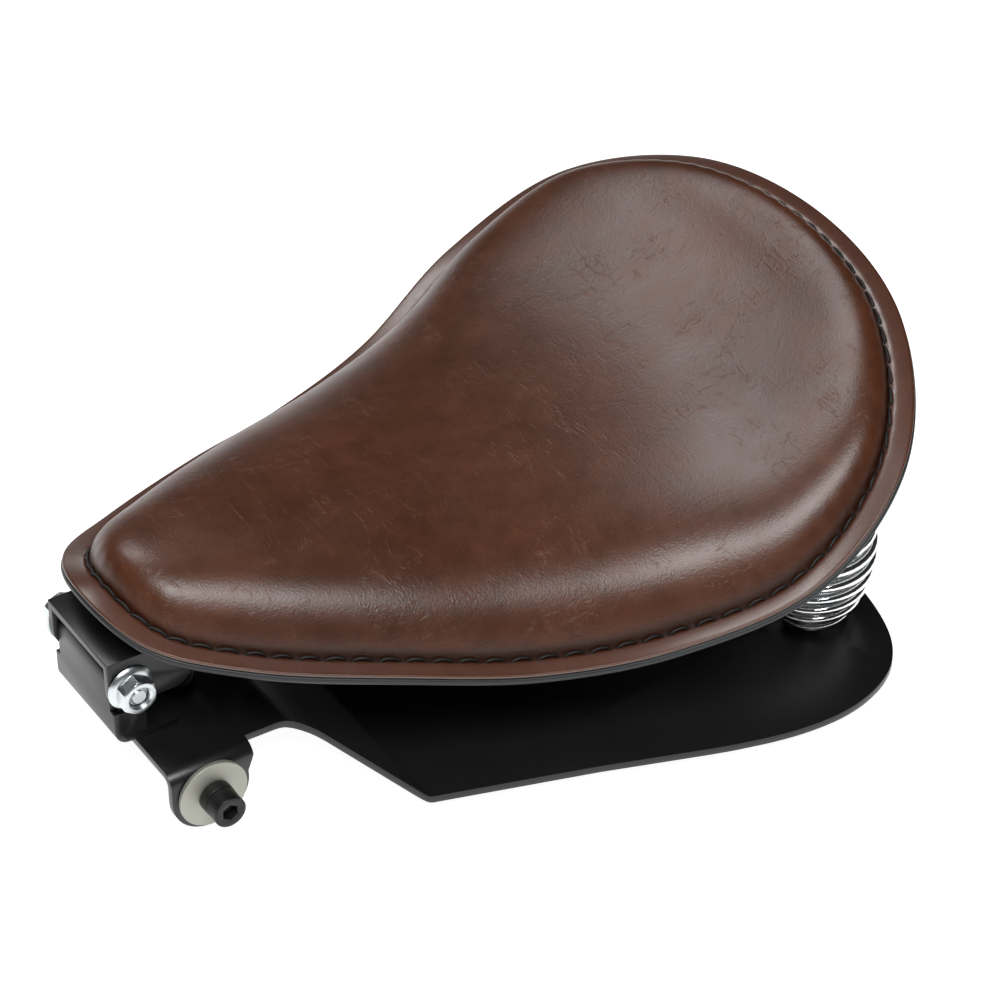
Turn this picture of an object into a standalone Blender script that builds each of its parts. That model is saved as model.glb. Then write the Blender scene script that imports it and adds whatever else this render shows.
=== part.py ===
"""Sprung solo motorcycle seat on its mounting plate.

A leather-covered pan tips on a hinge bolt at the nose and stands on two
barrel springs at the rear.  The hinge and the springs share one bent steel
base plate, which bolts to the frame of the motorcycle.

Frame: metres, +X to the nose, +Y to the rider's left, +Z up.  The origin is
the middle of the flat underside of the base plate.
"""
import math

import bmesh
import bpy
import numpy as np
from mathutils import Matrix, Vector

MM = 0.001
GAP = 0.3 * MM
TOOL_DEPTH = 60 * MM

# ---------------------------------------------------------------- seat shell
SEAT_LENGTH = 330 * MM
SEAT_WIDTH = 258 * MM
NOSE_X = 196 * MM
# Stations from nose to rear: share of the length, share of the half width
# and height of the rim's top edge above the pan's floor.
RIM_STATIONS = (
    (0.000, 0.000, 15 * MM),
    (0.030, 0.250, 7 * MM),
    (0.120, 0.418, -2 * MM),
    (0.270, 0.602, -11 * MM),
    (0.420, 0.751, -19 * MM),
    (0.570, 0.880, -17 * MM),
    (0.720, 0.998, 1 * MM),
    (0.860, 0.902, 29.5 * MM),
    (0.965, 0.522, 51.5 * MM),
    (1.000, 0.000, 58 * MM),
)
AROUND_HALF = 24
SKIRT_WIDTH = 10 * MM
COVER_LEATHER = 1.6 * MM
LINING_LEATHER = 3.0 * MM
LINING_LAP = 7 * MM
PAN_STEEL = 2.0 * MM
PAN_EDGE_INSET = 2.8 * MM
PAN_SIDE_POWER = 2.2
PAN_FLOOR_Z = 66 * MM
# Stations of the pan's middle between the seam's two ends: share of the
# length from the nose, and height above the pan's floor.
PAN_STATIONS = (
    (0.079, 5.5 * MM),
    (0.121, 2.5 * MM),
    (0.182, 1.0 * MM),
    (0.242, 0.5 * MM),
    (0.421, -7.0 * MM),
    (0.594, -6.5 * MM),
    (0.730, 1.5 * MM),
    (0.852, 20.0 * MM),
    (0.918, 37.0 * MM),
)
SPINE_FRONT_INSET = 38 * MM
SPINE_REAR_INSET = 45 * MM
PAD_THICKNESS = 25 * MM
PAD_SHOULDER = 42 * MM
PAD_FULLNESS = 0.55
PAD_END_SHARE = 0.9
PAD_END_TAPER = 70 * MM
PAD_RINGS = (0.015, 0.06, 0.14, 0.28, 0.48, 0.74, 1.0)
THREAD_RADIUS = 0.5 * MM

# ------------------------------------------------------- places of the springs
# Shares of the seat's length and width.
SPRING_ALONG = 273 / 330
SPRING_ACROSS = 79 / 258
SPRING_X = NOSE_X - SEAT_LENGTH * SPRING_ALONG
SPRING_Y = SEAT_WIDTH * SPRING_ACROSS

# ---------------------------------------------------------------- base plate
PLATE_STEEL = 3.0 * MM
PLATE_HALF_WIDTH = SPRING_Y + 54.5 * MM
PLATE_REAR_X = SPRING_X - 27 * MM
CREASE_X = 104 * MM
CREASE_HALF_WIDTH = 89 * MM
NECK_BEND_X = 138 * MM
NECK_HEIGHT = 20 * MM
NECK_FRONT_X = NOSE_X - 7 * MM
NECK_HALF_WIDTH = 41 * MM
NECK_ROOT_X = 129 * MM
NECK_ROOT_RADIUS = 14 * MM
NECK_CORNER_RADIUS = 14 * MM

# ------------------------------------------------------------------- side ear
EAR_CENTRE_X = NECK_FRONT_X - 16 * MM
EAR_CENTRE_Z = NECK_HEIGHT - 10 * MM
EAR_RADIUS = 16 * MM
EAR_TOP_HALF = 19.5 * MM
EAR_FACE_Y = NECK_HALF_WIDTH + 8 * MM
EAR_BEND_RADIUS = 6 * MM

# ---------------------------------------------------------------------- hinge
BRACKET_STEEL = 3.0 * MM
BRACKET_HALF_WIDTH = 23 * MM
BRACKET_FRONT_X = NOSE_X + 2.5 * MM
# The bracket and its front stud keep to the flat part of the pan, which is a
# share of the seat's length.
BRACKET_ALONG = 161 / 660
STUD_ALONG = 40 / 330
BRACKET_REAR_X = BRACKET_FRONT_X - SEAT_LENGTH * BRACKET_ALONG
BRACKET_TOP_Z = PAN_FLOOR_Z - 3.5 * MM
STUD_FRONT_X = BRACKET_REAR_X + SEAT_LENGTH * STUD_ALONG
STUD_REAR_X = BRACKET_REAR_X + 12 * MM
HINGE_X = BRACKET_FRONT_X - 8.5 * MM
HINGE_Z = BRACKET_TOP_Z - 13 * MM
FLANGE_LOW_Z = HINGE_Z - 9 * MM
FLANGE_REAR_X = HINGE_X - 26 * MM
FLANGE_CORNER = 8 * MM
STRIP_STEEL = 2.6 * MM
EYE_HALF_WIDTH = BRACKET_HALF_WIDTH - BRACKET_STEEL - 0.6 * MM
WEB_HALF_WIDTH = BRACKET_HALF_WIDTH - 0.5 * MM
WEB_SHOULDER_Z = HINGE_Z - 11.5 * MM
WEB_FOOT_X = HINGE_X - 19 * MM
WEB_BEND_RADIUS = 6 * MM
CHEEK_DEPTH = 13 * MM

# ------------------------------------------------------------------ fasteners
M8_RADIUS = 4.0 * MM
M8_NUT_FLATS = 13 * MM
M8_NUT_HEIGHT = 6.5 * MM
M6_RADIUS = 3.0 * MM
M6_NUT_FLATS = 10 * MM
M6_NUT_HEIGHT = 5.0 * MM
HOLE_CLEARANCE = 0.4 * MM
FLANGE_NUT_RADIUS = 9.3 * MM
FLANGE_NUT_LIP = 1.6 * MM
FLANGE_NUT_HEIGHT = 8 * MM
BIG_WASHER_RADIUS = 14 * MM
BIG_WASHER_STEEL = 2.0 * MM
COLLAR_RADIUS = 6.6 * MM
COLLAR_LENGTH = 4.5 * MM
CAP_HEAD_RADIUS = 6.5 * MM
CAP_HEAD_HEIGHT = 7 * MM
SOCKET_FLATS = 6 * MM
SOCKET_DEPTH = 4.5 * MM
NECK_BOLT_X = HINGE_X - 30 * MM
BUTTON_RADIUS = 7.2 * MM
BUTTON_HEIGHT = 3.6 * MM

# -------------------------------------------------------------------- springs
SPRING_WIRE = 4.2 * MM
SPRING_END_RADIUS = 12 * MM
SPRING_MIDDLE_RADIUS = 22.5 * MM
SPRING_TURNS = 10
SPRING_STEPS = 10
SPRING_WASHER_RADIUS = 9.2 * MM
SPRING_WASHER_STEEL = 1.6 * MM
SPRING_STUD_REACH = 20 * MM
PERCH_RADIUS = 13 * MM
PERCH_LENGTH = 14.5 * MM
PERCH_SPARE = 5 * MM
ROUND_SIDES = 32

SIDES = (("left", 1), ("right", -1))


# ------------------------------------------------------------------ scene set
def clear_scene():
    for thing in list(bpy.data.objects):
        bpy.data.objects.remove(thing, do_unlink=True)


def new_collection(name):
    made = bpy.data.collections.new(name)
    bpy.context.scene.collection.children.link(made)
    return made


def make_material(name, colour, roughness, metallic):
    made = bpy.data.materials.new(name)
    made.use_nodes = True
    shader = made.node_tree.nodes["Principled BSDF"]
    shader.inputs["Base Color"].default_value = (*colour, 1.0)
    shader.inputs["Roughness"].default_value = roughness
    shader.inputs["Metallic"].default_value = metallic
    return made


# -------------------------------------------------------------- shape helpers
def add_object(name, mesh, material):
    made = bpy.data.objects.new(name, mesh)
    PARTS.objects.link(made)
    mesh.materials.clear()
    mesh.materials.append(material)
    mesh.shade_smooth()
    mesh.set_sharp_from_angle(angle=math.radians(32))
    return made


def as_tool(thing):
    """Moves an operand of a Boolean to the cutters."""
    PARTS.objects.unlink(thing)
    CUTTERS.objects.link(thing)
    thing.hide_render = True
    thing.display_type = "WIRE"
    return thing


def boolean(thing, tool, operation):
    step = thing.modifiers.new(operation.title(), "BOOLEAN")
    step.operation = operation
    step.solver = "EXACT"
    step.object = as_tool(tool)
    return thing


def circle(radius, sides=ROUND_SIDES, centre=(0.0, 0.0)):
    points = []
    for index in range(sides):
        turn = 2 * math.pi * index / sides
        x = centre[0] + radius * math.cos(turn)
        y = centre[1] + radius * math.sin(turn)
        points.append((x, y))
    return points


def hexagon(flats):
    return circle(flats / math.sqrt(3), 6)


def rounded(corners, steps=5):
    """Closed or open polyline whose corners (x, y, radius) become arcs."""
    points = []
    count = len(corners)
    for index, (x, y, radius) in enumerate(corners):
        here = Vector((x, y))
        if radius == 0:
            points.append((x, y))
            continue
        before = Vector(corners[index - 1][:2])
        after = Vector(corners[(index + 1) % count][:2])
        arm_in = (before - here).normalized()
        arm_out = (after - here).normalized()
        half = arm_in.angle(arm_out) / 2
        centre = here + (arm_in + arm_out).normalized() * radius / math.sin(half)
        start = here + arm_in * radius / math.tan(half)
        end = here + arm_out * radius / math.tan(half)
        first = math.atan2(start.y - centre.y, start.x - centre.x)
        last = math.atan2(end.y - centre.y, end.x - centre.x)
        sweep = (last - first + math.pi) % (2 * math.pi) - math.pi
        for step in range(steps + 1):
            turn = first + sweep * step / steps
            points.append((centre.x + radius * math.cos(turn), centre.y + radius * math.sin(turn)))
    return points


def arc(centre, radius, first, last, steps):
    """Points on an arc, with the angles in degrees."""
    points = []
    for step in range(steps + 1):
        turn = math.radians(first + (last - first) * step / steps)
        points.append((centre[0] + radius * math.cos(turn), centre[1] + radius * math.sin(turn)))
    return points


def strip_outline(path, thickness):
    """Outline of sheet metal whose outer face follows the path; the sheet lies to its right."""
    line = [Vector(point) for point in path]
    inner = []
    for index, here in enumerate(line):
        ahead = line[min(index + 1, len(line) - 1)] - here
        behind = here - line[max(index - 1, 0)]
        if ahead.length == 0:
            ahead = behind
        if behind.length == 0:
            behind = ahead
        side = (ahead.normalized() + behind.normalized()).normalized()
        right = Vector((side.y, -side.x))
        stretch = 1 / max(0.5, side.dot(ahead.normalized()))
        inner.append(here + right * thickness * stretch)
    return [tuple(point) for point in line] + [tuple(point) for point in reversed(inner)]


AXIS_TURN = {
    "z": Matrix.Identity(4),
    "y": Matrix.Rotation(math.radians(90), 4, "X"),
    "x": Matrix.Rotation(math.radians(90), 4, "Z") @ Matrix.Rotation(math.radians(90), 4, "X"),
}


def prism(name, outlines, low, high, axis, material, place=(0.0, 0.0, 0.0)):
    """Flat outline, with any holes, given thickness from low to high along an axis.

    Along z the outline is in (x, y), along y in (x, z) and along x in (y, z).
    """
    curve = bpy.data.curves.new(name, "CURVE")
    curve.dimensions = "2D"
    curve.fill_mode = "BOTH"
    curve.extrude = abs(high - low) / 2
    for outline in outlines:
        spline = curve.splines.new("POLY")
        spline.points.add(len(outline) - 1)
        for point, (x, y) in zip(spline.points, outline):
            point.co = (x, y, 0.0, 1.0)
        spline.use_cyclic_u = True
    middle = (low + high) / 2
    shift = {"z": (0, 0, middle), "y": (0, middle, 0), "x": (middle, 0, 0)}[axis]
    matrix = Matrix.Translation(Vector(place) + Vector(shift)) @ AXIS_TURN[axis]
    return curve_to_part(name, curve, matrix, material)


def curve_to_part(name, curve, matrix, material):
    """Turns a curve into a welded mesh object."""
    guide = bpy.data.objects.new(name + "_guide", curve)
    PARTS.objects.link(guide)
    bpy.context.view_layer.update()
    evaluated = guide.evaluated_get(bpy.context.evaluated_depsgraph_get())
    mesh = bpy.data.meshes.new_from_object(evaluated)
    mesh.name = name
    bpy.data.objects.remove(guide, do_unlink=True)
    work = bmesh.new()
    work.from_mesh(mesh)
    bmesh.ops.remove_doubles(work, verts=work.verts, dist=0.002 * MM)
    work.transform(matrix)
    bmesh.ops.recalc_face_normals(work, faces=work.faces)
    work.to_mesh(mesh)
    work.free()
    return add_object(name, mesh, material)


def turned(name, profile, axis, place, material, sides=ROUND_SIDES):
    """Turned solid: the profile (radius, height) runs down the outer side, top to bottom."""
    mesh = bpy.data.meshes.new(name)
    points = [(radius, 0.0, height) for radius, height in profile]
    edges = [(index, index + 1) for index in range(len(points) - 1)]
    if profile[0][0] > 0:
        edges.append((len(points) - 1, 0))
    mesh.from_pydata(points, edges, [])
    made = add_object(name, mesh, material)
    screw = made.modifiers.new("Turn", "SCREW")
    screw.steps = sides
    screw.render_steps = sides
    screw.use_merge_vertices = True
    screw.merge_threshold = 0.005 * MM
    turn = {"z": (0, 0, 0), "y": (-90, 0, 0), "x": (0, 90, 0)}[axis]
    made.location = place
    made.rotation_euler = [math.radians(angle) for angle in turn]
    return made


def skin_quad(work, a, b, c, d, across_ac):
    """Two triangles that share the diagonal a-c or b-d."""
    if across_ac:
        work.faces.new((a, b, c))
        work.faces.new((a, c, d))
    else:
        work.faces.new((a, b, d))
        work.faces.new((b, c, d))


def loft(name, rings, material, sewn_ends=True):
    """Skins a list of rings; an end ring folded onto the spine is sewn shut.

    Quads are split across the shorter diagonal, so that parallel skins keep their gap,
    and next to the ends of the fold across the one that meets the tip of the spine.
    """
    mesh = bpy.data.meshes.new(name)
    work = bmesh.new()
    rows = [[work.verts.new(point) for point in ring] for ring in rings]
    if not sewn_ends:
        rows.append(rows[0])
    tips = (0, AROUND_HALF)
    for lower, upper in zip(rows, rows[1:]):
        folded = sewn_ends and (lower is rows[0] or upper is rows[-1])
        for index in range(len(lower)):
            ahead = (index + 1) % len(lower)
            a, b, c, d = lower[index], lower[ahead], upper[ahead], upper[index]
            across_ac = (a.co - c.co).length < (b.co - d.co).length
            if folded and (index in tips or ahead in tips):
                tip_is_a_or_c = (index in tips) == (lower is rows[0])
                across_ac = tip_is_a_or_c
            skin_quad(work, a, b, c, d, across_ac)
    bmesh.ops.remove_doubles(work, verts=work.verts, dist=0.005 * MM)
    bmesh.ops.recalc_face_normals(work, faces=work.faces)
    work.to_mesh(mesh)
    work.free()
    return add_object(name, mesh, material)


# ------------------------------------------------------------- seat surfaces
def rim_half():
    """Evenly spaced points along the left half of the rim, nose to rear."""
    knots = []
    for share, wide, height in RIM_STATIONS:
        knots.append((NOSE_X - share * SEAT_LENGTH, wide * SEAT_WIDTH / 2, PAN_FLOOR_Z + height))
    mirrored = [(x, -y, z) for x, y, z in reversed(knots[1:-1])]
    loop = np.array(knots + mirrored)
    count = len(loop)
    dense = []
    for index in range(len(knots) - 1):
        p0, p1, p2, p3 = (loop[(index + shift) % count] for shift in (-1, 0, 1, 2))
        d0 = np.linalg.norm(p1 - p0) ** 0.5
        d1 = np.linalg.norm(p2 - p1) ** 0.5
        d2 = np.linalg.norm(p3 - p2) ** 0.5
        m1 = (p2 - p1) + d1 * ((p1 - p0) / d0 - (p2 - p0) / (d0 + d1))
        m2 = (p2 - p1) + d1 * ((p3 - p2) / d2 - (p3 - p1) / (d1 + d2))
        for step in range(40):
            t = step / 40
            point = (2 * t ** 3 - 3 * t ** 2 + 1) * p1 + (t ** 3 - 2 * t ** 2 + t) * m1
            point = point + (-2 * t ** 3 + 3 * t ** 2) * p2 + (t ** 3 - t ** 2) * m2
            dense.append(point)
    dense.append(loop[len(knots) - 1])
    dense = np.array(dense)
    run = np.concatenate([[0], np.cumsum(np.linalg.norm(np.diff(dense, axis=0), axis=1))])
    places = np.linspace(0, run[-1], AROUND_HALF + 1)
    return np.stack([np.interp(places, run, dense[:, axis]) for axis in range(3)], axis=1)


def mirror_ring(half):
    right = half[-2:0:-1] * np.array([1, -1, 1])
    return np.concatenate([half, right])


def spine_front():
    return NOSE_X - SPINE_FRONT_INSET


def spine_rear():
    return NOSE_X - SEAT_LENGTH + SPINE_REAR_INSET


class SeatShape:
    """Rings of the seat, from the rim inward to the spine."""

    def __init__(self):
        self.rim = mirror_ring(rim_half())
        self.rim[:, 2] -= COVER_LEATHER
        ahead = np.roll(self.rim, -1, axis=0) - np.roll(self.rim, 1, axis=0)
        inward = np.stack([ahead[:, 1], -ahead[:, 0]], axis=1)
        middle = np.array([self.rim[:, 0].mean(), 0.0])
        toward = np.sum(inward * (middle - self.rim[:, :2]), axis=1)
        inward *= np.sign(toward.mean())
        self.inward = inward / np.linalg.norm(inward, axis=1)[:, None]
        share = (self.rim[:, 0] - self.rim[:, 0].min()) / SEAT_LENGTH
        spine_x = spine_rear() + share * (spine_front() - spine_rear())
        self.spine = np.stack([spine_x, 0 * spine_x, 0 * spine_x], axis=1)
        self.crease = self.skirt(SKIRT_WIDTH)
        self.edge = self.crease[AROUND_HALF::-1]
        rear, nose = self.edge[0], self.edge[-1]
        stations = [(share * SEAT_LENGTH, PAN_FLOOR_Z + rise) for share, rise in PAN_STATIONS]
        self.middle = [(NOSE_X - nose[0], nose[2])] + stations + [(NOSE_X - rear[0], rear[2])]
        self.spine[:, 2] = self.height(self.spine)

    def skirt(self, inset):
        """Ring on the skirt's underside, an inset in from the rim."""
        ring = self.rim.copy()
        ring[:, :2] += self.inward * inset
        return ring

    def height(self, points):
        """Height of the pan's top: its middle line, bent down or up to the seam."""
        x, y = points[:, 0], np.abs(points[:, 1])
        wide = np.interp(x, self.edge[:, 0], self.edge[:, 1])
        side = np.interp(x, self.edge[:, 0], self.edge[:, 2])
        line = np.array(smooth(self.middle, 16))
        middle = np.interp(NOSE_X - x, line[:, 0], line[:, 1])
        share = np.clip(y / np.maximum(wide, 0.01 * MM), 0, 1)
        return middle + (side - middle) * share ** PAN_SIDE_POWER

    def base(self, share, drop=0.0):
        """Ring on the pan's top, a share of the way from crease to spine."""
        share = np.broadcast_to(share, len(self.crease))[:, None]
        ring = self.crease + share * (self.spine - self.crease)
        ring[:, 2] = self.height(ring) - drop
        return ring

    def reach(self, share):
        """Distance from the crease along each line to the spine."""
        return share * np.linalg.norm((self.spine - self.crease)[:, :2], axis=1)

    def share_at(self, inset):
        """Share of the way to the spine, for each line, at an inset from the crease."""
        return inset / self.reach(1.0)

    def pad_top(self, share):
        """Ring on the top of the padded cover."""
        ring = self.base(share)
        full = np.minimum(self.reach(1.0), PAD_SHOULDER)
        run = np.clip(self.reach(share) / full, 0, 1)
        rise = (1 - (1 - run) ** 2) ** PAD_FULLNESS
        ring[:, 2] += COVER_LEATHER + (self.pad_thickness() - COVER_LEATHER) * rise
        return ring

    def pad_thickness(self):
        """Thickness over the spine, thinner towards both of its ends."""
        x = self.spine[:, 0]
        to_end = np.minimum(x - spine_rear(), spine_front() - x)
        blend = np.sin(np.clip(to_end / PAD_END_TAPER, 0, 1) * math.pi / 2)
        return PAD_THICKNESS * (PAD_END_SHARE + (1 - PAD_END_SHARE) * blend)


def ring_normals(rings):
    """Upward normals of a grid of rings."""
    grid = np.array(rings)
    around = np.roll(grid, -1, axis=1) - np.roll(grid, 1, axis=1)
    across = np.gradient(grid, axis=0)
    normal = np.cross(around, across)
    normal *= np.sign(normal[:, :, 2].mean())
    length = np.linalg.norm(normal, axis=2)
    flat = length < 1e-12
    normal[flat] = (0, 0, 1)
    length[flat] = 1
    normal = normal / length[:, :, None]
    normal[-1] = 0.5 * (normal[-1] + normal[-1][mirror_order(grid.shape[1])] * (1, -1, 1))
    normal[-1, :, 1] = 0
    normal[-1] /= np.linalg.norm(normal[-1], axis=1)[:, None]
    return normal


def mirror_order(count):
    return [(-index) % count for index in range(count)]


# ------------------------------------------------------------ seat components
def build_cover(shape):
    """Top leather: the padded crown and the skirt stitched round it."""
    top = [shape.skirt(0) + (0, 0, COVER_LEATHER), shape.crease + (0, 0, COVER_LEATHER)]
    top += [shape.pad_top(share) for share in PAD_RINGS]
    normals = ring_normals(top[1:])
    wall_foot = shape.crease.copy()
    wall_foot[:, :2] += shape.inward * COVER_LEATHER
    under = [shape.skirt(0), shape.skirt(SKIRT_WIDTH - 3 * GAP), wall_foot]
    for ring, normal in zip(top[2:], normals[1:]):
        under.append(ring - normal * COVER_LEATHER)
    rings = list(reversed(top)) + under
    return loft("leather_cover", rings, LEATHER)


def build_foam(shape):
    """Foam between the pan and the cover."""
    top = [shape.crease + (0, 0, COVER_LEATHER)]
    top += [shape.pad_top(share) for share in PAD_RINGS]
    normals = ring_normals(top)
    upper = []
    for ring, normal in zip(top[2:], normals[2:]):
        upper.append(ring - normal * (COVER_LEATHER + 2 * GAP))
    upper[0] = 0.5 * (upper[0] + upper[1])
    lower = pan_rings(shape, -GAP)
    return loft("foam_pad", list(reversed(upper)) + lower, FOAM)


def pan_rings(shape, drop):
    rings = [shape.base(shape.share_at(PAN_EDGE_INSET), drop)]
    return rings + [shape.base(share, drop) for share in PAD_RINGS[2:]]


def build_pan(shape):
    """Pressed steel pan that carries the foam."""
    rings = list(reversed(pan_rings(shape, 0.0))) + pan_rings(shape, PAN_STEEL)
    return loft("seat_pan", rings, BLACK_STEEL)


def build_lining(shape):
    """Black leather under the skirt, lapped under the edge of the pan."""
    skin = PAN_STEEL + 2 * GAP
    insets = (PAN_EDGE_INSET, LINING_LAP)
    lap = [shape.base(shape.share_at(inset), skin) for inset in insets]
    lap_under = [ring - (0, 0, LINING_LEATHER) for ring in lap]
    rings = [
        shape.skirt(0) - (0, 0, GAP),
        shape.skirt(SKIRT_WIDTH - 3 * GAP) - (0, 0, GAP),
        shape.skirt(SKIRT_WIDTH - GAP) - (0, 0, skin),
    ]
    rings += lap + list(reversed(lap_under))
    rings.append(shape.skirt(SKIRT_WIDTH - GAP) - (0, 0, skin + LINING_LEATHER))
    rings.append(shape.skirt(0) - (0, 0, GAP + LINING_LEATHER))
    return loft("leather_lining", rings, BLACK_LEATHER, sewn_ends=False)


def build_thread(shape):
    """Stitching thread that runs round the foot of the padding."""
    seam = shape.skirt(SKIRT_WIDTH - 2 * THREAD_RADIUS)
    seam[:, 2] += COVER_LEATHER + THREAD_RADIUS + GAP
    curve = bpy.data.curves.new("stitching_thread", "CURVE")
    curve.dimensions = "3D"
    curve.bevel_depth = THREAD_RADIUS
    curve.bevel_resolution = 1
    spline = curve.splines.new("POLY")
    spline.points.add(len(seam) - 1)
    for point, place in zip(spline.points, seam):
        point.co = (*place, 1.0)
    spline.use_cyclic_u = True
    return curve_to_part("stitching_thread", curve, Matrix.Identity(4), THREAD)


def pan_cutter(shape, name):
    """Everything above the pan's underside, for trimming what is welded to it."""
    low = pan_rings(shape, PAN_STEEL + GAP)
    high = [ring + (0, 0, TOOL_DEPTH) for ring in low]
    return loft(name, list(reversed(high)) + low, BLACK_STEEL)


# ----------------------------------------------------------- hinge components
def build_seat_bracket():
    """Inverted channel under the nose of the pan."""
    side = rounded([
        (BRACKET_FRONT_X, BRACKET_TOP_Z, 0),
        (BRACKET_REAR_X, BRACKET_TOP_Z, 0),
        (BRACKET_REAR_X, BRACKET_TOP_Z - BRACKET_STEEL, 0),
        (FLANGE_REAR_X, BRACKET_TOP_Z - BRACKET_STEEL - 3 * MM, 0),
        (FLANGE_REAR_X, FLANGE_LOW_Z, FLANGE_CORNER),
        (BRACKET_FRONT_X, FLANGE_LOW_Z, FLANGE_CORNER),
    ])
    made = prism("seat_hinge_bracket", [side], -BRACKET_HALF_WIDTH, BRACKET_HALF_WIDTH, "y", BLACK_STEEL)
    bend = made.modifiers.new("Folds", "BEVEL")
    bend.width = 2 * MM
    bend.segments = 2
    bend.limit_method = "ANGLE"
    bend.angle_limit = math.radians(60)
    inner = BRACKET_HALF_WIDTH - BRACKET_STEEL
    room = [
        (BRACKET_REAR_X - 5 * MM, FLANGE_LOW_Z - 5 * MM),
        (BRACKET_FRONT_X + 5 * MM, FLANGE_LOW_Z - 5 * MM),
        (BRACKET_FRONT_X + 5 * MM, BRACKET_TOP_Z - BRACKET_STEEL),
        (BRACKET_REAR_X - 5 * MM, BRACKET_TOP_Z - BRACKET_STEEL),
    ]
    boolean(made, prism("bracket_room", [room], -inner, inner, "y", BLACK_STEEL), "DIFFERENCE")
    hinge_hole = circle(M8_RADIUS + HOLE_CLEARANCE, centre=(HINGE_X, HINGE_Z))
    reach = BRACKET_HALF_WIDTH + 5 * MM
    boolean(made, prism("bracket_hinge_hole", [hinge_hole], -reach, reach, "y", BLACK_STEEL), "DIFFERENCE")
    for place, x in (("front", STUD_FRONT_X), ("rear", STUD_REAR_X)):
        hole = circle(M6_RADIUS + HOLE_CLEARANCE, centre=(x, 0))
        low = BRACKET_TOP_Z - 2 * BRACKET_STEEL
        high = BRACKET_TOP_Z + BRACKET_STEEL
        boolean(made, prism("bracket_hole_" + place, [hole], low, high, "z", BLACK_STEEL), "DIFFERENCE")
    return made


def build_pan_studs():
    """Studs that hold the pan down on its hinge bracket, with their nuts."""
    low = BRACKET_TOP_Z - BRACKET_STEEL
    nut_top = low - GAP
    nut_low = nut_top - M6_NUT_HEIGHT
    for place, x in (("front", STUD_FRONT_X), ("rear", STUD_REAR_X)):
        top = BRACKET_TOP_Z + GAP
        profile = [(0, top), (M6_RADIUS, top), (M6_RADIUS, nut_low - 2 * MM), (0, nut_low - 2 * MM)]
        turned("pan_stud_" + place, profile, "z", (x, 0, 0), ZINC, sides=16)
        outline = [hexagon(M6_NUT_FLATS), circle(M6_RADIUS + HOLE_CLEARANCE, 16)]
        prism("pan_stud_nut_" + place, outline, nut_low, nut_top, "z", ZINC, (x, 0, 0))


def build_base_bracket():
    """Strip with a rolled eye that carries the hinge bolt, welded on the neck."""
    foot_z = NECK_HEIGHT + PLATE_STEEL + GAP
    eye_outer = M8_RADIUS + HOLE_CLEARANCE + STRIP_STEEL
    web_x = HINGE_X + eye_outer
    bend = arc((web_x - WEB_BEND_RADIUS, foot_z + WEB_BEND_RADIUS), WEB_BEND_RADIUS, -90, 0, 6)
    eye = arc((HINGE_X, HINGE_Z), eye_outer, 0, 282, 22)
    path = [(WEB_FOOT_X, foot_z)] + bend + eye
    outline = strip_outline(list(reversed(path)), STRIP_STEEL)
    made = prism("base_hinge_bracket", [outline], -WEB_HALF_WIDTH, WEB_HALF_WIDTH, "y", BLACK_STEEL)
    for name, side in SIDES:
        notch = [
            (WEB_FOOT_X - 5 * MM, WEB_SHOULDER_Z),
            (web_x + 5 * MM, WEB_SHOULDER_Z),
            (web_x + 5 * MM, HINGE_Z + 3 * eye_outer),
            (WEB_FOOT_X - 5 * MM, HINGE_Z + 3 * eye_outer),
        ]
        low, high = sorted((side * EYE_HALF_WIDTH, side * (WEB_HALF_WIDTH + 5 * MM)))
        boolean(made, prism("eye_notch_" + name, [notch], low, high, "y", BLACK_STEEL), "DIFFERENCE")
    for name, side in SIDES:
        rear = web_x - CHEEK_DEPTH
        cheek = rounded([
            (rear, foot_z + 0.5 * MM, 0),
            (web_x - 0.8 * MM, foot_z + 0.5 * MM, WEB_BEND_RADIUS - 1 * MM),
            (web_x - 0.8 * MM, WEB_SHOULDER_Z - 0.2 * MM, 0),
            (rear, WEB_SHOULDER_Z - 0.2 * MM, 4 * MM),
        ])
        outer = WEB_HALF_WIDTH - 0.05 * MM
        low, high = sorted((side * (outer - STRIP_STEEL), side * outer))
        boolean(made, prism("cheek_" + name, [cheek], low, high, "y", BLACK_STEEL), "UNION")
    return made


def hex_head_bolt(name, flats, head_low, head_high, tip, axis, place, material):
    """Hexagon bolt: a flanged head between two levels and a shank up to its tip."""
    lip = head_high - FLANGE_NUT_LIP
    shank = prism(name, [circle(M8_RADIUS)], head_low, tip, axis, material, place)
    head = prism(name + "_head", [hexagon(flats)], head_low, head_high, axis, material, place)
    flange = prism(name + "_flange", [circle(FLANGE_NUT_RADIUS)], lip, head_high, axis, material, place)
    boolean(shank, head, "UNION")
    boolean(shank, flange, "UNION")
    return shank


def build_hinge_bolt():
    """Bolt, with its head on the right, and flange nut on the left."""
    face = BRACKET_HALF_WIDTH + GAP
    tip = face + FLANGE_NUT_HEIGHT - 1 * MM
    place = (HINGE_X, 0, HINGE_Z)
    hex_head_bolt("hinge_bolt", M8_NUT_FLATS, -face - FLANGE_NUT_HEIGHT, -face, tip, "y", place, ZINC)
    bore = circle(M8_RADIUS + HOLE_CLEARANCE)
    nut = prism("hinge_nut", [hexagon(M8_NUT_FLATS), bore], face, face + FLANGE_NUT_HEIGHT, "y", ZINC, place)
    rim = [circle(FLANGE_NUT_RADIUS), bore]
    lip = prism("nut_flange", rim, face, face + FLANGE_NUT_LIP, "y", ZINC, place)
    boolean(nut, lip, "UNION")


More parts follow.
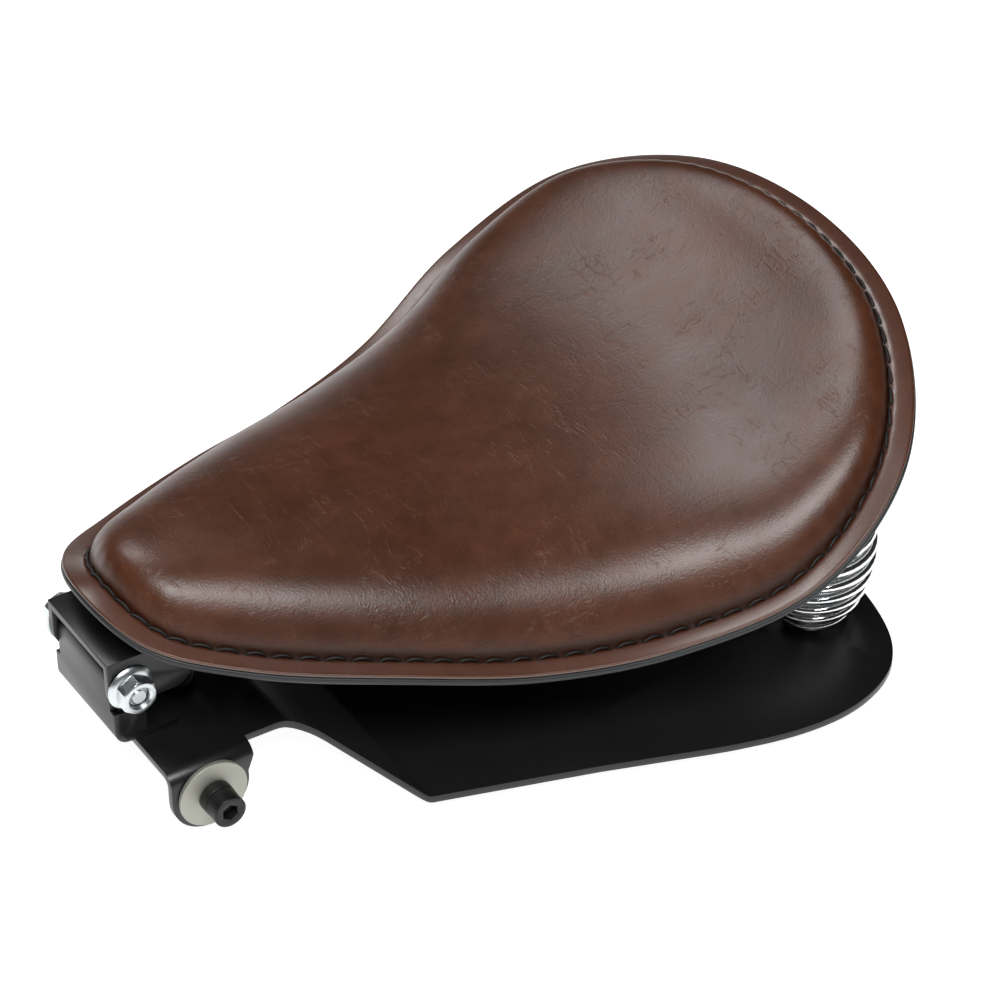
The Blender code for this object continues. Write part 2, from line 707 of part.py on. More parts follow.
# ------------------------------------------------------------ base components
def plate_plan():
    """Plan of the base plate: a wide tail, a crease and a narrow neck."""
    half = [
        (NECK_FRONT_X, NECK_HALF_WIDTH, 0),
        (NECK_ROOT_X, NECK_HALF_WIDTH + 2 * MM, NECK_ROOT_RADIUS),
        (CREASE_X, CREASE_HALF_WIDTH, 4 * MM),
    ]
    tail = [
        (SPRING_X + 119 * MM, PLATE_HALF_WIDTH - 24.5 * MM),
        (SPRING_X + 68 * MM, PLATE_HALF_WIDTH - 6.5 * MM),
        (SPRING_X + 36 * MM, PLATE_HALF_WIDTH),
        (SPRING_X + 11 * MM, PLATE_HALF_WIDTH - 2.5 * MM),
        (SPRING_X - 9 * MM, PLATE_HALF_WIDTH - 14 * MM),
        (PLATE_REAR_X + 6 * MM, PLATE_HALF_WIDTH - 36 * MM),
        (PLATE_REAR_X, PLATE_HALF_WIDTH - 73.5 * MM),
        (PLATE_REAR_X, 0.0),
    ]
    left = smooth([(CREASE_X, CREASE_HALF_WIDTH)] + tail, 8)[1:]
    neck = rounded([(NECK_FRONT_X, 0, 0)] + half + [(*left[0], 0)])[1:-1]
    right = [(x, -y) for x, y in reversed(neck[1:] + left[:-1])]
    corner = rounded([
        (NECK_ROOT_X + 2 * NECK_ROOT_RADIUS, -NECK_HALF_WIDTH, 0),
        (NECK_FRONT_X, -NECK_HALF_WIDTH, NECK_CORNER_RADIUS),
        (NECK_FRONT_X, 0, 0),
    ])[1:-1]
    return neck + left + right + corner


def smooth(points, steps):
    """Open Catmull-Rom curve through the points."""
    line = [Vector(point) for point in points]
    line = [2 * line[0] - line[1]] + line + [2 * line[-1] - line[-2]]
    made = []
    for a, b, c, d in zip(line, line[1:], line[2:], line[3:]):
        for step in range(steps):
            t = step / steps
            point = 2 * b + (c - a) * t
            point += (2 * a - 5 * b + 4 * c - d) * t ** 2
            point += (3 * b - a - 3 * c + d) * t ** 3
            made.append(tuple(point / 2))
    made.append(tuple(line[-2]))
    return made


def build_plate():
    """Base plate: bent sheet cut to its plan, with an ear turned down on the left."""
    top = rounded([
        (PLATE_REAR_X - 10 * MM, PLATE_STEEL, 0),
        (CREASE_X, PLATE_STEEL, 6 * MM),
        (NECK_BEND_X, NECK_HEIGHT + PLATE_STEEL, 14 * MM),
        (NECK_FRONT_X + 10 * MM, NECK_HEIGHT + PLATE_STEEL, 0),
    ], 4)
    reach = PLATE_HALF_WIDTH + 10 * MM
    made = prism("base_plate", [strip_outline(top, PLATE_STEEL)], -reach, reach, "y", BLACK_STEEL)
    plan = prism("plate_plan", [plate_plan()], -TOOL_DEPTH, TOOL_DEPTH, "z", BLACK_STEEL)
    boolean(made, plan, "INTERSECT")
    ear_bend = arc(
        (EAR_FACE_Y - EAR_BEND_RADIUS, NECK_HEIGHT + PLATE_STEEL - EAR_BEND_RADIUS),
        EAR_BEND_RADIUS, 90, 0, 5)
    ear_low = EAR_CENTRE_Z - EAR_RADIUS - 5 * MM
    ear_path = [(NECK_HALF_WIDTH - 6 * MM, NECK_HEIGHT + PLATE_STEEL)] + ear_bend + [(EAR_FACE_Y, ear_low)]
    front = EAR_CENTRE_X + 2 * EAR_RADIUS
    rear = EAR_CENTRE_X - 2 * EAR_RADIUS
    ear = prism("plate_ear", [strip_outline(ear_path, PLATE_STEEL)], rear, front, "x", BLACK_STEEL)
    shoulder_z = NECK_HEIGHT - 1 * MM
    lobe = arc((EAR_CENTRE_X, EAR_CENTRE_Z), EAR_RADIUS, 172, 360, 24)
    outline = lobe + [
        (NECK_FRONT_X, NECK_HEIGHT + 10 * MM),
        (EAR_CENTRE_X - EAR_TOP_HALF + 1 * MM, NECK_HEIGHT + 10 * MM),
        (EAR_CENTRE_X - EAR_TOP_HALF + 1 * MM, shoulder_z),
    ]
    blank = prism("ear_outline", [outline], 0, EAR_FACE_Y + 10 * MM, "y", BLACK_STEEL)
    boolean(ear, blank, "INTERSECT")
    boolean(made, ear, "UNION")
    holes = [("neck", NECK_BOLT_X, 0.0)]
    holes += [("spring_" + name, SPRING_X, side * SPRING_Y) for name, side in SIDES]
    for name, x, y in holes:
        hole = circle(M8_RADIUS + HOLE_CLEARANCE, centre=(x, y))
        low, high = -10 * MM, NECK_HEIGHT + 10 * MM
        boolean(made, prism("plate_hole_" + name, [hole], low, high, "z", BLACK_STEEL), "DIFFERENCE")
    hole = circle(M8_RADIUS + HOLE_CLEARANCE, centre=(EAR_CENTRE_X, EAR_CENTRE_Z))
    low, high = EAR_FACE_Y - 2 * PLATE_STEEL, EAR_FACE_Y + PLATE_STEEL
    boolean(made, prism("ear_hole", [hole], low, high, "y", BLACK_STEEL), "DIFFERENCE")
    return made


def cap_screw(name, profile, socket_low, socket_high, axis, place, material):
    made = turned(name, profile, axis, place, material)
    socket = prism(name + "_socket", [hexagon(SOCKET_FLATS)], socket_low, socket_high, axis, material, place)
    return boolean(made, socket, "DIFFERENCE")


def build_ear_screw():
    """Frame screw through the ear, with its washer, collar and nut."""
    place = (EAR_CENTRE_X, 0, EAR_CENTRE_Z)
    bore = circle(M8_RADIUS + HOLE_CLEARANCE)
    washer = EAR_FACE_Y + GAP
    collar = washer + BIG_WASHER_STEEL + GAP
    head = collar + COLLAR_LENGTH + GAP
    top = head + CAP_HEAD_HEIGHT
    inner = EAR_FACE_Y - PLATE_STEEL - GAP
    tip = inner - M8_NUT_HEIGHT - 2 * MM
    prism("ear_washer", [circle(BIG_WASHER_RADIUS, 32), bore], washer, washer + BIG_WASHER_STEEL, "y",
          PALE_STEEL, place)
    sleeve = [circle(COLLAR_RADIUS), bore]
    prism("ear_collar", sleeve, collar, collar + COLLAR_LENGTH, "y", BLACK_OXIDE, place)
    prism("ear_nut", [hexagon(M8_NUT_FLATS), bore], inner - M8_NUT_HEIGHT, inner, "y", ZINC, place)
    edge = 0.7 * MM
    profile = [
        (0, top),
        (CAP_HEAD_RADIUS - edge, top),
        (CAP_HEAD_RADIUS, top - edge),
        (CAP_HEAD_RADIUS, head),
        (M8_RADIUS, head),
        (M8_RADIUS, tip),
        (0, tip),
    ]
    cap_screw("ear_screw", profile, top - SOCKET_DEPTH, top + 2 * MM, "y", place, BLACK_OXIDE)


def build_neck_bolt():
    """Button-head bolt through the middle of the neck, with its nut."""
    place = (NECK_BOLT_X, 0, 0)
    seat = NECK_HEIGHT + PLATE_STEEL + GAP
    under = NECK_HEIGHT - GAP
    tip = under - M8_NUT_HEIGHT - 2 * MM
    profile = [(0, seat + BUTTON_HEIGHT)]
    for step in range(1, 6):
        turn = math.radians(90 * step / 5)
        flat = 0.45 * BUTTON_RADIUS
        radius = flat + (BUTTON_RADIUS - flat) * math.sin(turn)
        profile.append((radius, seat + 0.6 * MM + (BUTTON_HEIGHT - 0.6 * MM) * math.cos(turn)))
    profile.insert(1, (0.45 * BUTTON_RADIUS, seat + BUTTON_HEIGHT))
    profile += [(BUTTON_RADIUS, seat), (M8_RADIUS, seat), (M8_RADIUS, tip), (0, tip)]
    top = seat + BUTTON_HEIGHT
    cap_screw("neck_bolt", profile, top - 2.2 * MM, top + 2 * MM, "z", place, BLACK_OXIDE)
    outline = [hexagon(M8_NUT_FLATS), circle(M8_RADIUS + HOLE_CLEARANCE)]
    prism("neck_nut", outline, under - M8_NUT_HEIGHT, under, "z", ZINC, place)


# ---------------------------------------------------------- spring components
def spring_top(shape):
    """Height at which the springs end, below the pan's underside over them."""
    rings = [shape.base(share, PAN_STEEL) for share in np.linspace(0, 1, 101)]
    points = np.concatenate(rings)
    apart = np.hypot(points[:, 0] - SPRING_X, points[:, 1] - SPRING_Y)
    return points[np.argmin(apart), 2] - PERCH_LENGTH


def build_spring(name, side, top):
    """Barrel spring: the coil is widest at mid height and closes at both ends."""
    wire = SPRING_WIRE / 2
    low = PLATE_STEEL + wire + GAP
    high = top - wire - GAP
    count = SPRING_TURNS * SPRING_STEPS
    curve = bpy.data.curves.new("spring_" + name, "CURVE")
    curve.dimensions = "3D"
    curve.bevel_depth = wire
    curve.bevel_resolution = 2
    curve.use_fill_caps = True
    spline = curve.splines.new("POLY")
    spline.points.add(count)
    for index, point in enumerate(spline.points):
        share = index / count
        turn = 2 * math.pi * SPRING_TURNS * share
        swell = math.sin(math.pi * share) ** 0.8
        radius = SPRING_END_RADIUS + (SPRING_MIDDLE_RADIUS - SPRING_END_RADIUS) * swell
        x = SPRING_X + radius * math.cos(turn)
        y = side * (SPRING_Y + radius * math.sin(turn))
        point.co = (x, y, low + (high - low) * share, 1.0)
    return curve_to_part("spring_" + name, curve, Matrix.Identity(4), CHROME)


def build_spring_mounts(shape, name, side, high):
    """Studs, washers and nuts at both ends of a spring, and its perch on the pan."""
    place = (SPRING_X, side * SPRING_Y, 0)
    bore = circle(M8_RADIUS + HOLE_CLEARANCE)
    low = PLATE_STEEL
    washer_low = low + GAP
    nut_low = washer_low + SPRING_WASHER_STEEL + GAP
    washer_high = high - GAP
    nut_high = washer_high - SPRING_WASHER_STEEL - GAP
    round_washer = [circle(SPRING_WASHER_RADIUS), bore]
    nut = [hexagon(M8_NUT_FLATS), bore]
    prism("lower_washer_" + name, round_washer, washer_low, nut_low - GAP, "z", ZINC, place)
    prism("lower_nut_" + name, nut, nut_low, nut_low + M8_NUT_HEIGHT, "z", ZINC, place)
    prism("upper_washer_" + name, round_washer, nut_high + GAP, washer_high, "z", ZINC, place)
    prism("upper_nut_" + name, nut, nut_high - M8_NUT_HEIGHT, nut_high, "z", ZINC, place)
    top = low + SPRING_STUD_REACH
    profile = [(0, top), (M8_RADIUS, top), (M8_RADIUS, GAP), (0, GAP)]
    turned("lower_stud_" + name, profile, "z", place, ZINC, sides=16)
    tip = high - SPRING_STUD_REACH
    root = high + 2 * MM
    profile = [(0, root), (M8_RADIUS, root), (M8_RADIUS, tip), (0, tip)]
    turned("upper_stud_" + name, profile, "z", place, ZINC, sides=16)
    perch = prism("spring_perch_" + name, [circle(PERCH_RADIUS), bore], high, high + PERCH_LENGTH + PERCH_SPARE, "z",
                  BLACK_STEEL, place)
    boolean(perch, pan_cutter(shape, "pan_trim_" + name), "DIFFERENCE")


# ----------------------------------------------------------------------- main
clear_scene()
PARTS = new_collection("motorcycle_seat")
CUTTERS = new_collection("cutters")
LEATHER = make_material("brown_leather", (0.085, 0.028, 0.013), 0.38, 0.0)
BLACK_LEATHER = make_material("black_leather", (0.012, 0.012, 0.013), 0.5, 0.0)
FOAM = make_material("foam", (0.55, 0.50, 0.38), 0.9, 0.0)
THREAD = make_material("black_thread", (0.01, 0.01, 0.01), 0.6, 0.0)
BLACK_STEEL = make_material("black_powder_coat", (0.008, 0.008, 0.009), 0.35, 0.0)
BLACK_OXIDE = make_material("black_oxide", (0.012, 0.012, 0.012), 0.4, 0.6)
ZINC = make_material("bright_zinc", (0.72, 0.74, 0.76), 0.25, 1.0)
PALE_STEEL = make_material("pale_washer", (0.60, 0.59, 0.54), 0.5, 0.7)
CHROME = make_material("spring_chrome", (0.80, 0.80, 0.81), 0.12, 1.0)

SEAT = SeatShape()
build_cover(SEAT)
build_foam(SEAT)
build_pan(SEAT)
build_lining(SEAT)
build_thread(SEAT)
build_seat_bracket()
build_pan_studs()
build_hinge_bolt()
build_base_bracket()
build_plate()
build_ear_screw()
build_neck_bolt()
SPRING_TOP = spring_top(SEAT)
for SIDE_NAME, SIDE_SIGN in SIDES:
    build_spring(SIDE_NAME, SIDE_SIGN, SPRING_TOP)
    build_spring_mounts(SEAT, SIDE_NAME, SIDE_SIGN, SPRING_TOP)
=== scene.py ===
"""Looks of a sprung solo motorcycle seat on its base plate.

Frame: metres, +X to the nose, +Y to the rider's left, +Z up.  The seat body
tips on the hinge bolt at the nose; the base body is the plate it stands on.
"""
import math

import bmesh
import bpy
import numpy as np
from bpy.props import FloatProperty, FloatVectorProperty, IntProperty, PointerProperty
from mathutils import Color, Matrix, Vector


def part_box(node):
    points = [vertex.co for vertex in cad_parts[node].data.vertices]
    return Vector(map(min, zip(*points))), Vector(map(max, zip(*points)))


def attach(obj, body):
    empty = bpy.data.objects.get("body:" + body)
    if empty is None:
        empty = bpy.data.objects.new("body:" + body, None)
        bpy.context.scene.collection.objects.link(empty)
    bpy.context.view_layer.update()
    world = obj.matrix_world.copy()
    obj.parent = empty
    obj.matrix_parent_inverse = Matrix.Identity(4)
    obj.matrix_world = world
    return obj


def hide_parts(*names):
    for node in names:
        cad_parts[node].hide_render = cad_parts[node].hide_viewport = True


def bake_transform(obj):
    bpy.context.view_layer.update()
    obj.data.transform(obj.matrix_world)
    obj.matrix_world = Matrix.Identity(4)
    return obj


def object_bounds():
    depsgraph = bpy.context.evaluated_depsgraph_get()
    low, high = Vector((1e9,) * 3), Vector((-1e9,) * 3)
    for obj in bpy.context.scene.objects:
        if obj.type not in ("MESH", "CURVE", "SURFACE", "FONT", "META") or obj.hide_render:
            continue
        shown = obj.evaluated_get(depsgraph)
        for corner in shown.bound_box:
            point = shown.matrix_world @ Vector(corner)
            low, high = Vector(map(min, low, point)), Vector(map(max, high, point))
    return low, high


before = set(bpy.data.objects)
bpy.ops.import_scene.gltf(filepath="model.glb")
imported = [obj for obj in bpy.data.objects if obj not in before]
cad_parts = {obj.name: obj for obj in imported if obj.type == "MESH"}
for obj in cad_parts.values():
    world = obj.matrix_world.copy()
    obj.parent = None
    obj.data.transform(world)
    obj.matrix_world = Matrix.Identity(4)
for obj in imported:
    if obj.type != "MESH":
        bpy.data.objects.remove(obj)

bl_info = {
    "name": "Sprung Solo Seat",
    "version": (1, 0, 0),
    "blender": (4, 5, 0),
    "location": "View3D > Sidebar > Solo Seat",
    "description": "Builds a leather solo seat, its barrel springs, hinge and base plate",
    "category": "Object",
}

MM = 0.001
WELD = 0.002 * MM
CAD_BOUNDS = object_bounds()
SIDES = (("left", 1), ("right", -1))

# Fasteners: radius of the shank, of the thread's root and of the bores, width
# across flats and pitch.
M8_SHANK = 4 * MM
M8_ROOT = 3.45 * MM
M8_NUT_BORE = 4.15 * MM
M8_CLEAR_BORE = 4.4 * MM
M8_FLATS = 13 * MM
M8_SOCKET = 6 * MM
M8_BUTTON_SOCKET = 5 * MM
M6_SHANK = 3 * MM
M6_ROOT = 2.5 * MM
M6_NUT_BORE = 3.15 * MM
M6_FLATS = 10 * MM
M6_PITCH = 1.0 * MM
TOOTH_SHARE = 0.42
TIP_CHAMFER = 0.6 * MM
FLANGE_RADIUS = 9.3 * MM
FLANGE_LIP = 1.6 * MM
HINGE_HEAD = 8 * MM
HINGE_THREAD = 10 * MM
EAR_WASHER_RADIUS = 14 * MM
EAR_COLLAR_RADIUS = 6.6 * MM
EAR_HEAD_RADIUS = 6.5 * MM
EAR_HEAD_HEIGHT = 7 * MM
EAR_THREAD = 14 * MM
EAR_SOCKET_DEPTH = 4.2 * MM
BUTTON_RADIUS = 7.2 * MM
BUTTON_HEIGHT = 3.6 * MM
BUTTON_SOCKET_DEPTH = 2.4 * MM
NECK_THREAD = 9 * MM
SPRING_WASHER_RADIUS = 9.2 * MM
SPRING_WIRE = 2.1 * MM
SPRING_END_RADIUS = 12 * MM
SPRING_MIDDLE_RADIUS = 22.5 * MM
SPRING_X = -77 * MM
SPRING_Y = 79 * MM
SPRING_STEPS = 420


# ------------------------------------------------------------------ node trees
class Value:
    """A socket that can stand in a Python sum."""

    def __init__(self, graph, socket):
        self.graph = graph
        self.socket = socket

    def maths(self, operation, *others):
        sockets = dict(enumerate((self, *others)))
        return self.graph.node("ShaderNodeMath", {"operation": operation}, sockets)

    def __add__(self, other):
        return self.maths("ADD", other)

    def __radd__(self, other):
        return self.maths("ADD", other)

    def __sub__(self, other):
        return self.maths("SUBTRACT", other)

    def __rsub__(self, other):
        return (self * -1.0).maths("ADD", other)

    def __mul__(self, other):
        return self.maths("MULTIPLY", other)

    def __rmul__(self, other):
        return self.maths("MULTIPLY", other)

    def __truediv__(self, other):
        return self.maths("DIVIDE", other)

    def __pow__(self, other):
        return self.maths("POWER", other)

    def step(self, low, high):
        """Smooth step from 0 at low to 1 at high."""
        settings = {"interpolation_type": "SMOOTHSTEP"}
        return self.graph.node("ShaderNodeMapRange", settings, {0: self, 1: low, 2: high})


class Graph:
    """Makes and links the nodes of one tree."""

    def __init__(self, tree):
        self.tree = tree

    def node(self, kind, settings=None, sockets=None, out=0):
        made = self.tree.nodes.new(kind)
        for name, value in (settings or {}).items():
            if name == "stops":
                ramp = made.color_ramp.elements
                while len(ramp) < len(value):
                    ramp.new(0.5)
                for stop, (place, colour) in zip(ramp, value):
                    stop.position = place
                    stop.color = colour
            else:
                setattr(made, name, value)
        for key, value in (sockets or {}).items():
            if isinstance(value, Value):
                self.tree.links.new(value.socket, made.inputs[key])
            else:
                made.inputs[key].default_value = value
        return Value(self, made.outputs[out])

    def mix(self, share, low, high):
        settings = {"data_type": "RGBA"}
        return self.node("ShaderNodeMix", settings, {0: share, 6: low, 7: high}, out=2)

    def place(self, scale=(1, 1, 1), turn=(0, 0, 0)):
        """Object coordinates, stretched and turned."""
        own = self.node("ShaderNodeTexCoord", out="Object")
        return self.node("ShaderNodeMapping", None, {"Vector": own, "Scale": scale, "Rotation": turn})

    def noise(self, vector, scale, detail=2.0, roughness=0.5, distortion=0.0):
        sockets = {"Vector": vector, "Scale": scale, "Detail": detail}
        sockets["Roughness"] = roughness
        sockets["Distortion"] = distortion
        return self.node("ShaderNodeTexNoise", None, sockets)

    def cells(self, vector, scale, feature="F1"):
        settings = {"feature": feature}
        sockets = {"Vector": vector, "Scale": scale}
        return self.node("ShaderNodeTexVoronoi", settings, sockets, out="Distance")

    def tube(self, path, radius, sides):
        """Capped round bar along a curve."""
        sockets = {"Resolution": sides, "Radius": radius}
        ring = self.node("GeometryNodeCurvePrimitiveCircle", None, sockets)
        sockets = {"Curve": path, "Profile Curve": ring, "Fill Caps": True}
        return self.node("GeometryNodeCurveToMesh", None, sockets)


class Finish:
    """A material built round one Principled shader."""

    def __init__(self, name, **constants):
        self.material = bpy.data.materials.new(name)
        self.material.use_nodes = True
        tree = self.material.node_tree
        tree.nodes.clear()
        self.graph = Graph(tree)
        self.shader = tree.nodes.new("ShaderNodeBsdfPrincipled")
        output = tree.nodes.new("ShaderNodeOutputMaterial")
        tree.links.new(self.shader.outputs[0], output.inputs[0])
        for name, value in constants.items():
            self.set(name.replace("_", " ").title().replace("Ior", "IOR"), value)

    def set(self, name, value):
        socket = self.shader.inputs[name]
        if isinstance(value, Value):
            self.graph.tree.links.new(value.socket, socket)
        elif isinstance(value, (tuple, Color)):
            socket.default_value = (*value[:3], 1.0)
        else:
            socket.default_value = value

    def relief(self, height, distance, strength=1.0):
        """Bump from a height that is about 0 to 1."""
        sockets = {"Height": height, "Distance": distance, "Strength": strength}
        self.set("Normal", self.graph.node("ShaderNodeBump", None, sockets))


def shade(colour, share):
    return tuple(channel * share for channel in tuple(colour)[:3]) + (1.0,)


# ------------------------------------------------------------------- materials
def leather_finish(look):
    made = Finish("brown_leather", specular_ior_level=0.5, coat_roughness=0.35)
    graph = made.graph
    own = graph.place()
    cloud = graph.noise(own, 11.0, 3.0, 0.55)
    mottle = graph.noise(own, 75.0, 4.0, 0.65)
    drift = graph.noise(own, 38.0, 3.0, 0.6, 0.6)
    streak = graph.noise(graph.place((1, 0.28, 1), (0, 0, 0.7)), 260.0, 3.0, 0.6, 1.2)
    cross = graph.noise(graph.place((0.3, 1, 1), (0, 0, 0.4)), 300.0, 3.0, 0.6, 1.4)
    pores = graph.cells(own, 1150.0)
    sway = {"Vector": own, "Scale": 90.0, "Detail": 3.0}
    sway = graph.node("ShaderNodeTexNoise", None, sway, out=1)
    sway = graph.node("ShaderNodeVectorMath", {"operation": "SCALE"}, {0: sway, "Scale": 0.012})
    swayed = graph.node("ShaderNodeVectorMath", {"operation": "ADD"}, {0: own, 1: sway})
    crease = graph.cells(swayed, 210.0, "DISTANCE_TO_EDGE")
    lines = 1.0 - crease.step(0.0, 0.09)
    fine = (streak.step(0.56, 0.68) + cross.step(0.58, 0.7)) * drift.step(0.42, 0.62)
    patch = drift.step(0.46, 0.64)
    tone = cloud * 0.5 + mottle * 0.5
    colour = tone.step(0.3, 0.72)
    colour = graph.mix(colour, shade(look.leather, 0.72), shade(look.leather, 1.3))
    colour = graph.mix(fine * 0.3, colour, shade(look.leather, 1.75))
    colour = graph.mix(lines * patch * 0.12, colour, shade(look.leather, 0.5))
    cut = graph.node("ShaderNodeAttribute", {"attribute_name": "cut"}, out="Fac")
    seam = graph.node("ShaderNodeAttribute", {"attribute_name": "seam"}, out="Fac")
    band = graph.node("ShaderNodeAttribute", {"attribute_name": "band"}, out="Fac")
    # Painted sheen: over the skirt band the leather is lightened and greyed towards the skirt colour.
    colour = graph.mix(band * 0.55, colour, (*look.skirt, 1.0))
    # Painted shade: the leather is darkened in the groove along the seam.
    colour = graph.mix(seam * 0.8, colour, shade(look.leather, 0.22))
    colour = graph.mix(cut, colour, (*look.cut_edge, 1.0))
    made.set("Base Color", colour)
    made.set("Roughness", look.leather_gloss + mottle * 0.14 + drift * 0.08 + fine * 0.05)
    height = mottle * 0.3 + pores * 0.2 - lines * patch * 0.1
    height = height + fine * 0.3 + streak * 0.3 + cross * 0.3
    made.set("Coat Weight", band * 0.7)
    made.relief(height, look.grain_depth, 0.8)
    return made.material


def black_leather_finish(look):
    made = Finish("black_leather", specular_ior_level=0.45)
    graph = made.graph
    own = graph.place()
    fibre = graph.noise(graph.place((1, 1, 5)), 420.0, 3.0, 0.6)
    mottle = graph.noise(own, 110.0, 3.0, 0.6)
    made.set("Base Color", graph.mix(mottle, shade(look.lining, 0.7), shade(look.lining, 1.6)))
    made.set("Roughness", 0.36 + mottle * 0.22)
    made.relief(fibre * 0.6 + mottle * 0.4, 0.12 * MM, 0.7)
    return made.material


def thread_finish(look):
    made = Finish("waxed_thread", specular_ior_level=0.4)
    graph = made.graph
    twist = graph.noise(graph.place((1, 1, 1), (0.3, 0.4, 0.2)), 1500.0, 2.0)
    made.set("Base Color", graph.mix(twist, shade(look.thread, 0.7), shade(look.thread, 1.7)))
    made.set("Roughness", 0.48 + twist * 0.2)
    made.relief(twist, 0.15 * MM, 0.7)
    return made.material


def powder_coat_finish(look):
    made = Finish("black_powder_coat", specular_ior_level=0.5)
    graph = made.graph
    own = graph.place()
    peel = graph.noise(own, 620.0, 2.0, 0.5)
    cloud = graph.noise(own, 30.0, 3.0, 0.6)
    made.set("Base Color", graph.mix(cloud, shade(look.coat, 0.8), shade(look.coat, 1.3)))
    made.set("Roughness", look.coat_gloss + cloud * 0.08)
    made.relief(peel, 0.05 * MM, 0.5)
    return made.material


def metal_finish(name, colour, roughness, scratch=0.1, metallic=1.0, depth=0.03):
    made = Finish(name, metallic=metallic)
    graph = made.graph
    own = graph.place()
    brush = graph.noise(graph.place((1, 1, 9), (0.2, 0.5, 0.1)), 520.0, 3.0, 0.65)
    cloud = graph.noise(own, 140.0, 3.0, 0.6)
    made.set("Base Color", graph.mix(cloud, shade(colour, 0.85), shade(colour, 1.08)))
    made.set("Roughness", roughness + brush * scratch + cloud * scratch * 0.6)
    made.relief(brush, depth * MM, 0.5)
    return made.material


def floor_finish(look):
    made = Finish("studio_floor", specular_ior_level=0.0, roughness=0.9, emission_strength=look.floor_glow)
    graph = made.graph
    cloud = graph.noise(graph.place(), 2.0, 2.0)
    made.set("Base Color", graph.mix(cloud, shade(look.floor, 0.99), shade(look.floor, 1.0)))
    made.set("Emission Color", (1.0, 1.0, 1.0))
    return made.material


def finishes(look):
    """All finishes, made once and then looked up by slot."""
    if "brown_leather" not in bpy.data.materials or not FINISHES:
        FINISHES.update({
            "brown_leather": leather_finish(look),
            "black_leather": black_leather_finish(look),
            "black_thread": thread_finish(look),
            "black_powder_coat": powder_coat_finish(look),
            "black_oxide": metal_finish("black_oxide", look.oxide, 0.34, 0.12, 0.55),
            "bright_zinc": metal_finish("bright_zinc", look.zinc, 0.2, 0.12),
            "pale_washer": metal_finish("pale_washer", look.washer, 0.42, 0.2, 0.75),
            "spring_chrome": metal_finish("spring_chrome", look.chrome, 0.07, 0.05),
        })
    return FINISHES


FINISHES = {}


# ---------------------------------------------------------------- mesh helpers
def link(thing):
    bpy.context.scene.collection.objects.link(thing)
    return thing


def finish_piece(thing, body, slot, replaced=(), angle=35.0):
    """Gives a piece its finish, its smoothing and the body it rides on."""
    thing.data.materials.clear()
    thing.data.materials.append(finishes(bpy.context.scene.seat_look)[slot])
    thing.data.shade_smooth()
    thing.data.set_sharp_from_angle(angle=math.radians(angle))
    if body:
        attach(thing, body)
    if replaced:
        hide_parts(*replaced)
    return thing


def from_bmesh(name, work):
    mesh = bpy.data.meshes.new(name)
    work.to_mesh(mesh)
    work.free()
    return link(bpy.data.objects.new(name, mesh))


def weave(work, rows):
    """Quads between rows of points; points that fall together are welded."""
    for lower, upper in zip(rows, rows[1:]):
        for index in range(len(lower)):
            ahead = (index + 1) % len(lower)
            work.faces.new((lower[index], lower[ahead], upper[ahead], upper[index]))
    bmesh.ops.remove_doubles(work, verts=work.verts, dist=WELD)
    bmesh.ops.recalc_face_normals(work, faces=work.faces)


def skin(name, rings, closed_loop=False, capped=False):
    """Skin over rings, joined end to end or capped where asked."""
    work = bmesh.new()
    rows = [[work.verts.new(point) for point in ring] for ring in rings]
    if capped:
        work.faces.new(rows[0])
        work.faces.new(rows[-1])
    if closed_loop:
        rows.append(rows[0])
    weave(work, rows)
    return from_bmesh(name, work)


def cad_copy(name, node, dissolve=1.0):
    """Welded copy of a CAD node with its flat faces merged."""
    work = bmesh.new()
    work.from_mesh(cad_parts[node].data)
    bmesh.ops.remove_doubles(work, verts=work.verts, dist=0.004 * MM)
    bmesh.ops.dissolve_limit(
        work, angle_limit=math.radians(dissolve), verts=work.verts, edges=work.edges)
    bmesh.ops.delete(work, geom=[v for v in work.verts if not v.link_faces], context="VERTS")
    return from_bmesh(name, work)


def bevel(thing, width, segments=2, angle=40.0):
    step = thing.modifiers.new("Edges", "BEVEL")
    step.width = width
    step.segments = segments
    step.limit_method = "ANGLE"
    step.angle_limit = math.radians(angle)
    step.harden_normals = False
    return settle(thing)


def settle(thing):
    """Swaps the piece's mesh for the one its modifiers make."""
    bpy.context.view_layer.update()
    mesh = bpy.data.meshes.new_from_object(
        thing.evaluated_get(bpy.context.evaluated_depsgraph_get()))
    mesh.name = thing.name
    thing.modifiers.clear()
    thing.data = mesh
    return thing


def join(name, things):
    """One piece out of several meshes."""
    work = bmesh.new()
    for thing in things:
        work.from_mesh(thing.data)
    for thing in things:
        bpy.data.objects.remove(thing, do_unlink=True)
    return from_bmesh(name, work)


AXES = {
    "z": Matrix.Identity(4),
    "y": Matrix.Rotation(math.radians(-90), 4, "X"),
}


def hexagon(flats, angle, corner=0.985):
    """Radius of a hexagon at an angle, with its corners just rounded."""
    sixth = math.pi / 3
    away = (angle + sixth / 2) % sixth - sixth / 2
    return min(flats / 2 / math.cos(away), flats / math.sqrt(3) * corner)


def lathe(name, rows, axis, place, sides=48, bored=True):
    """Round or hexagonal piece: rows of (height, radius) down its outside and up its bore.

    A radius is a number or a function of the angle.
    """
    rings = []
    for height, radius in rows:
        ring = []
        for index in range(sides):
            angle = 2 * math.pi * index / sides
            reach = radius(angle) if callable(radius) else radius
            ring.append((reach * math.cos(angle), reach * math.sin(angle), height))
        rings.append(ring)
    made = skin(name, rings, closed_loop=bored, capped=not bored)
    made.data.transform(Matrix.Translation(place) @ AXES[axis])
    return made


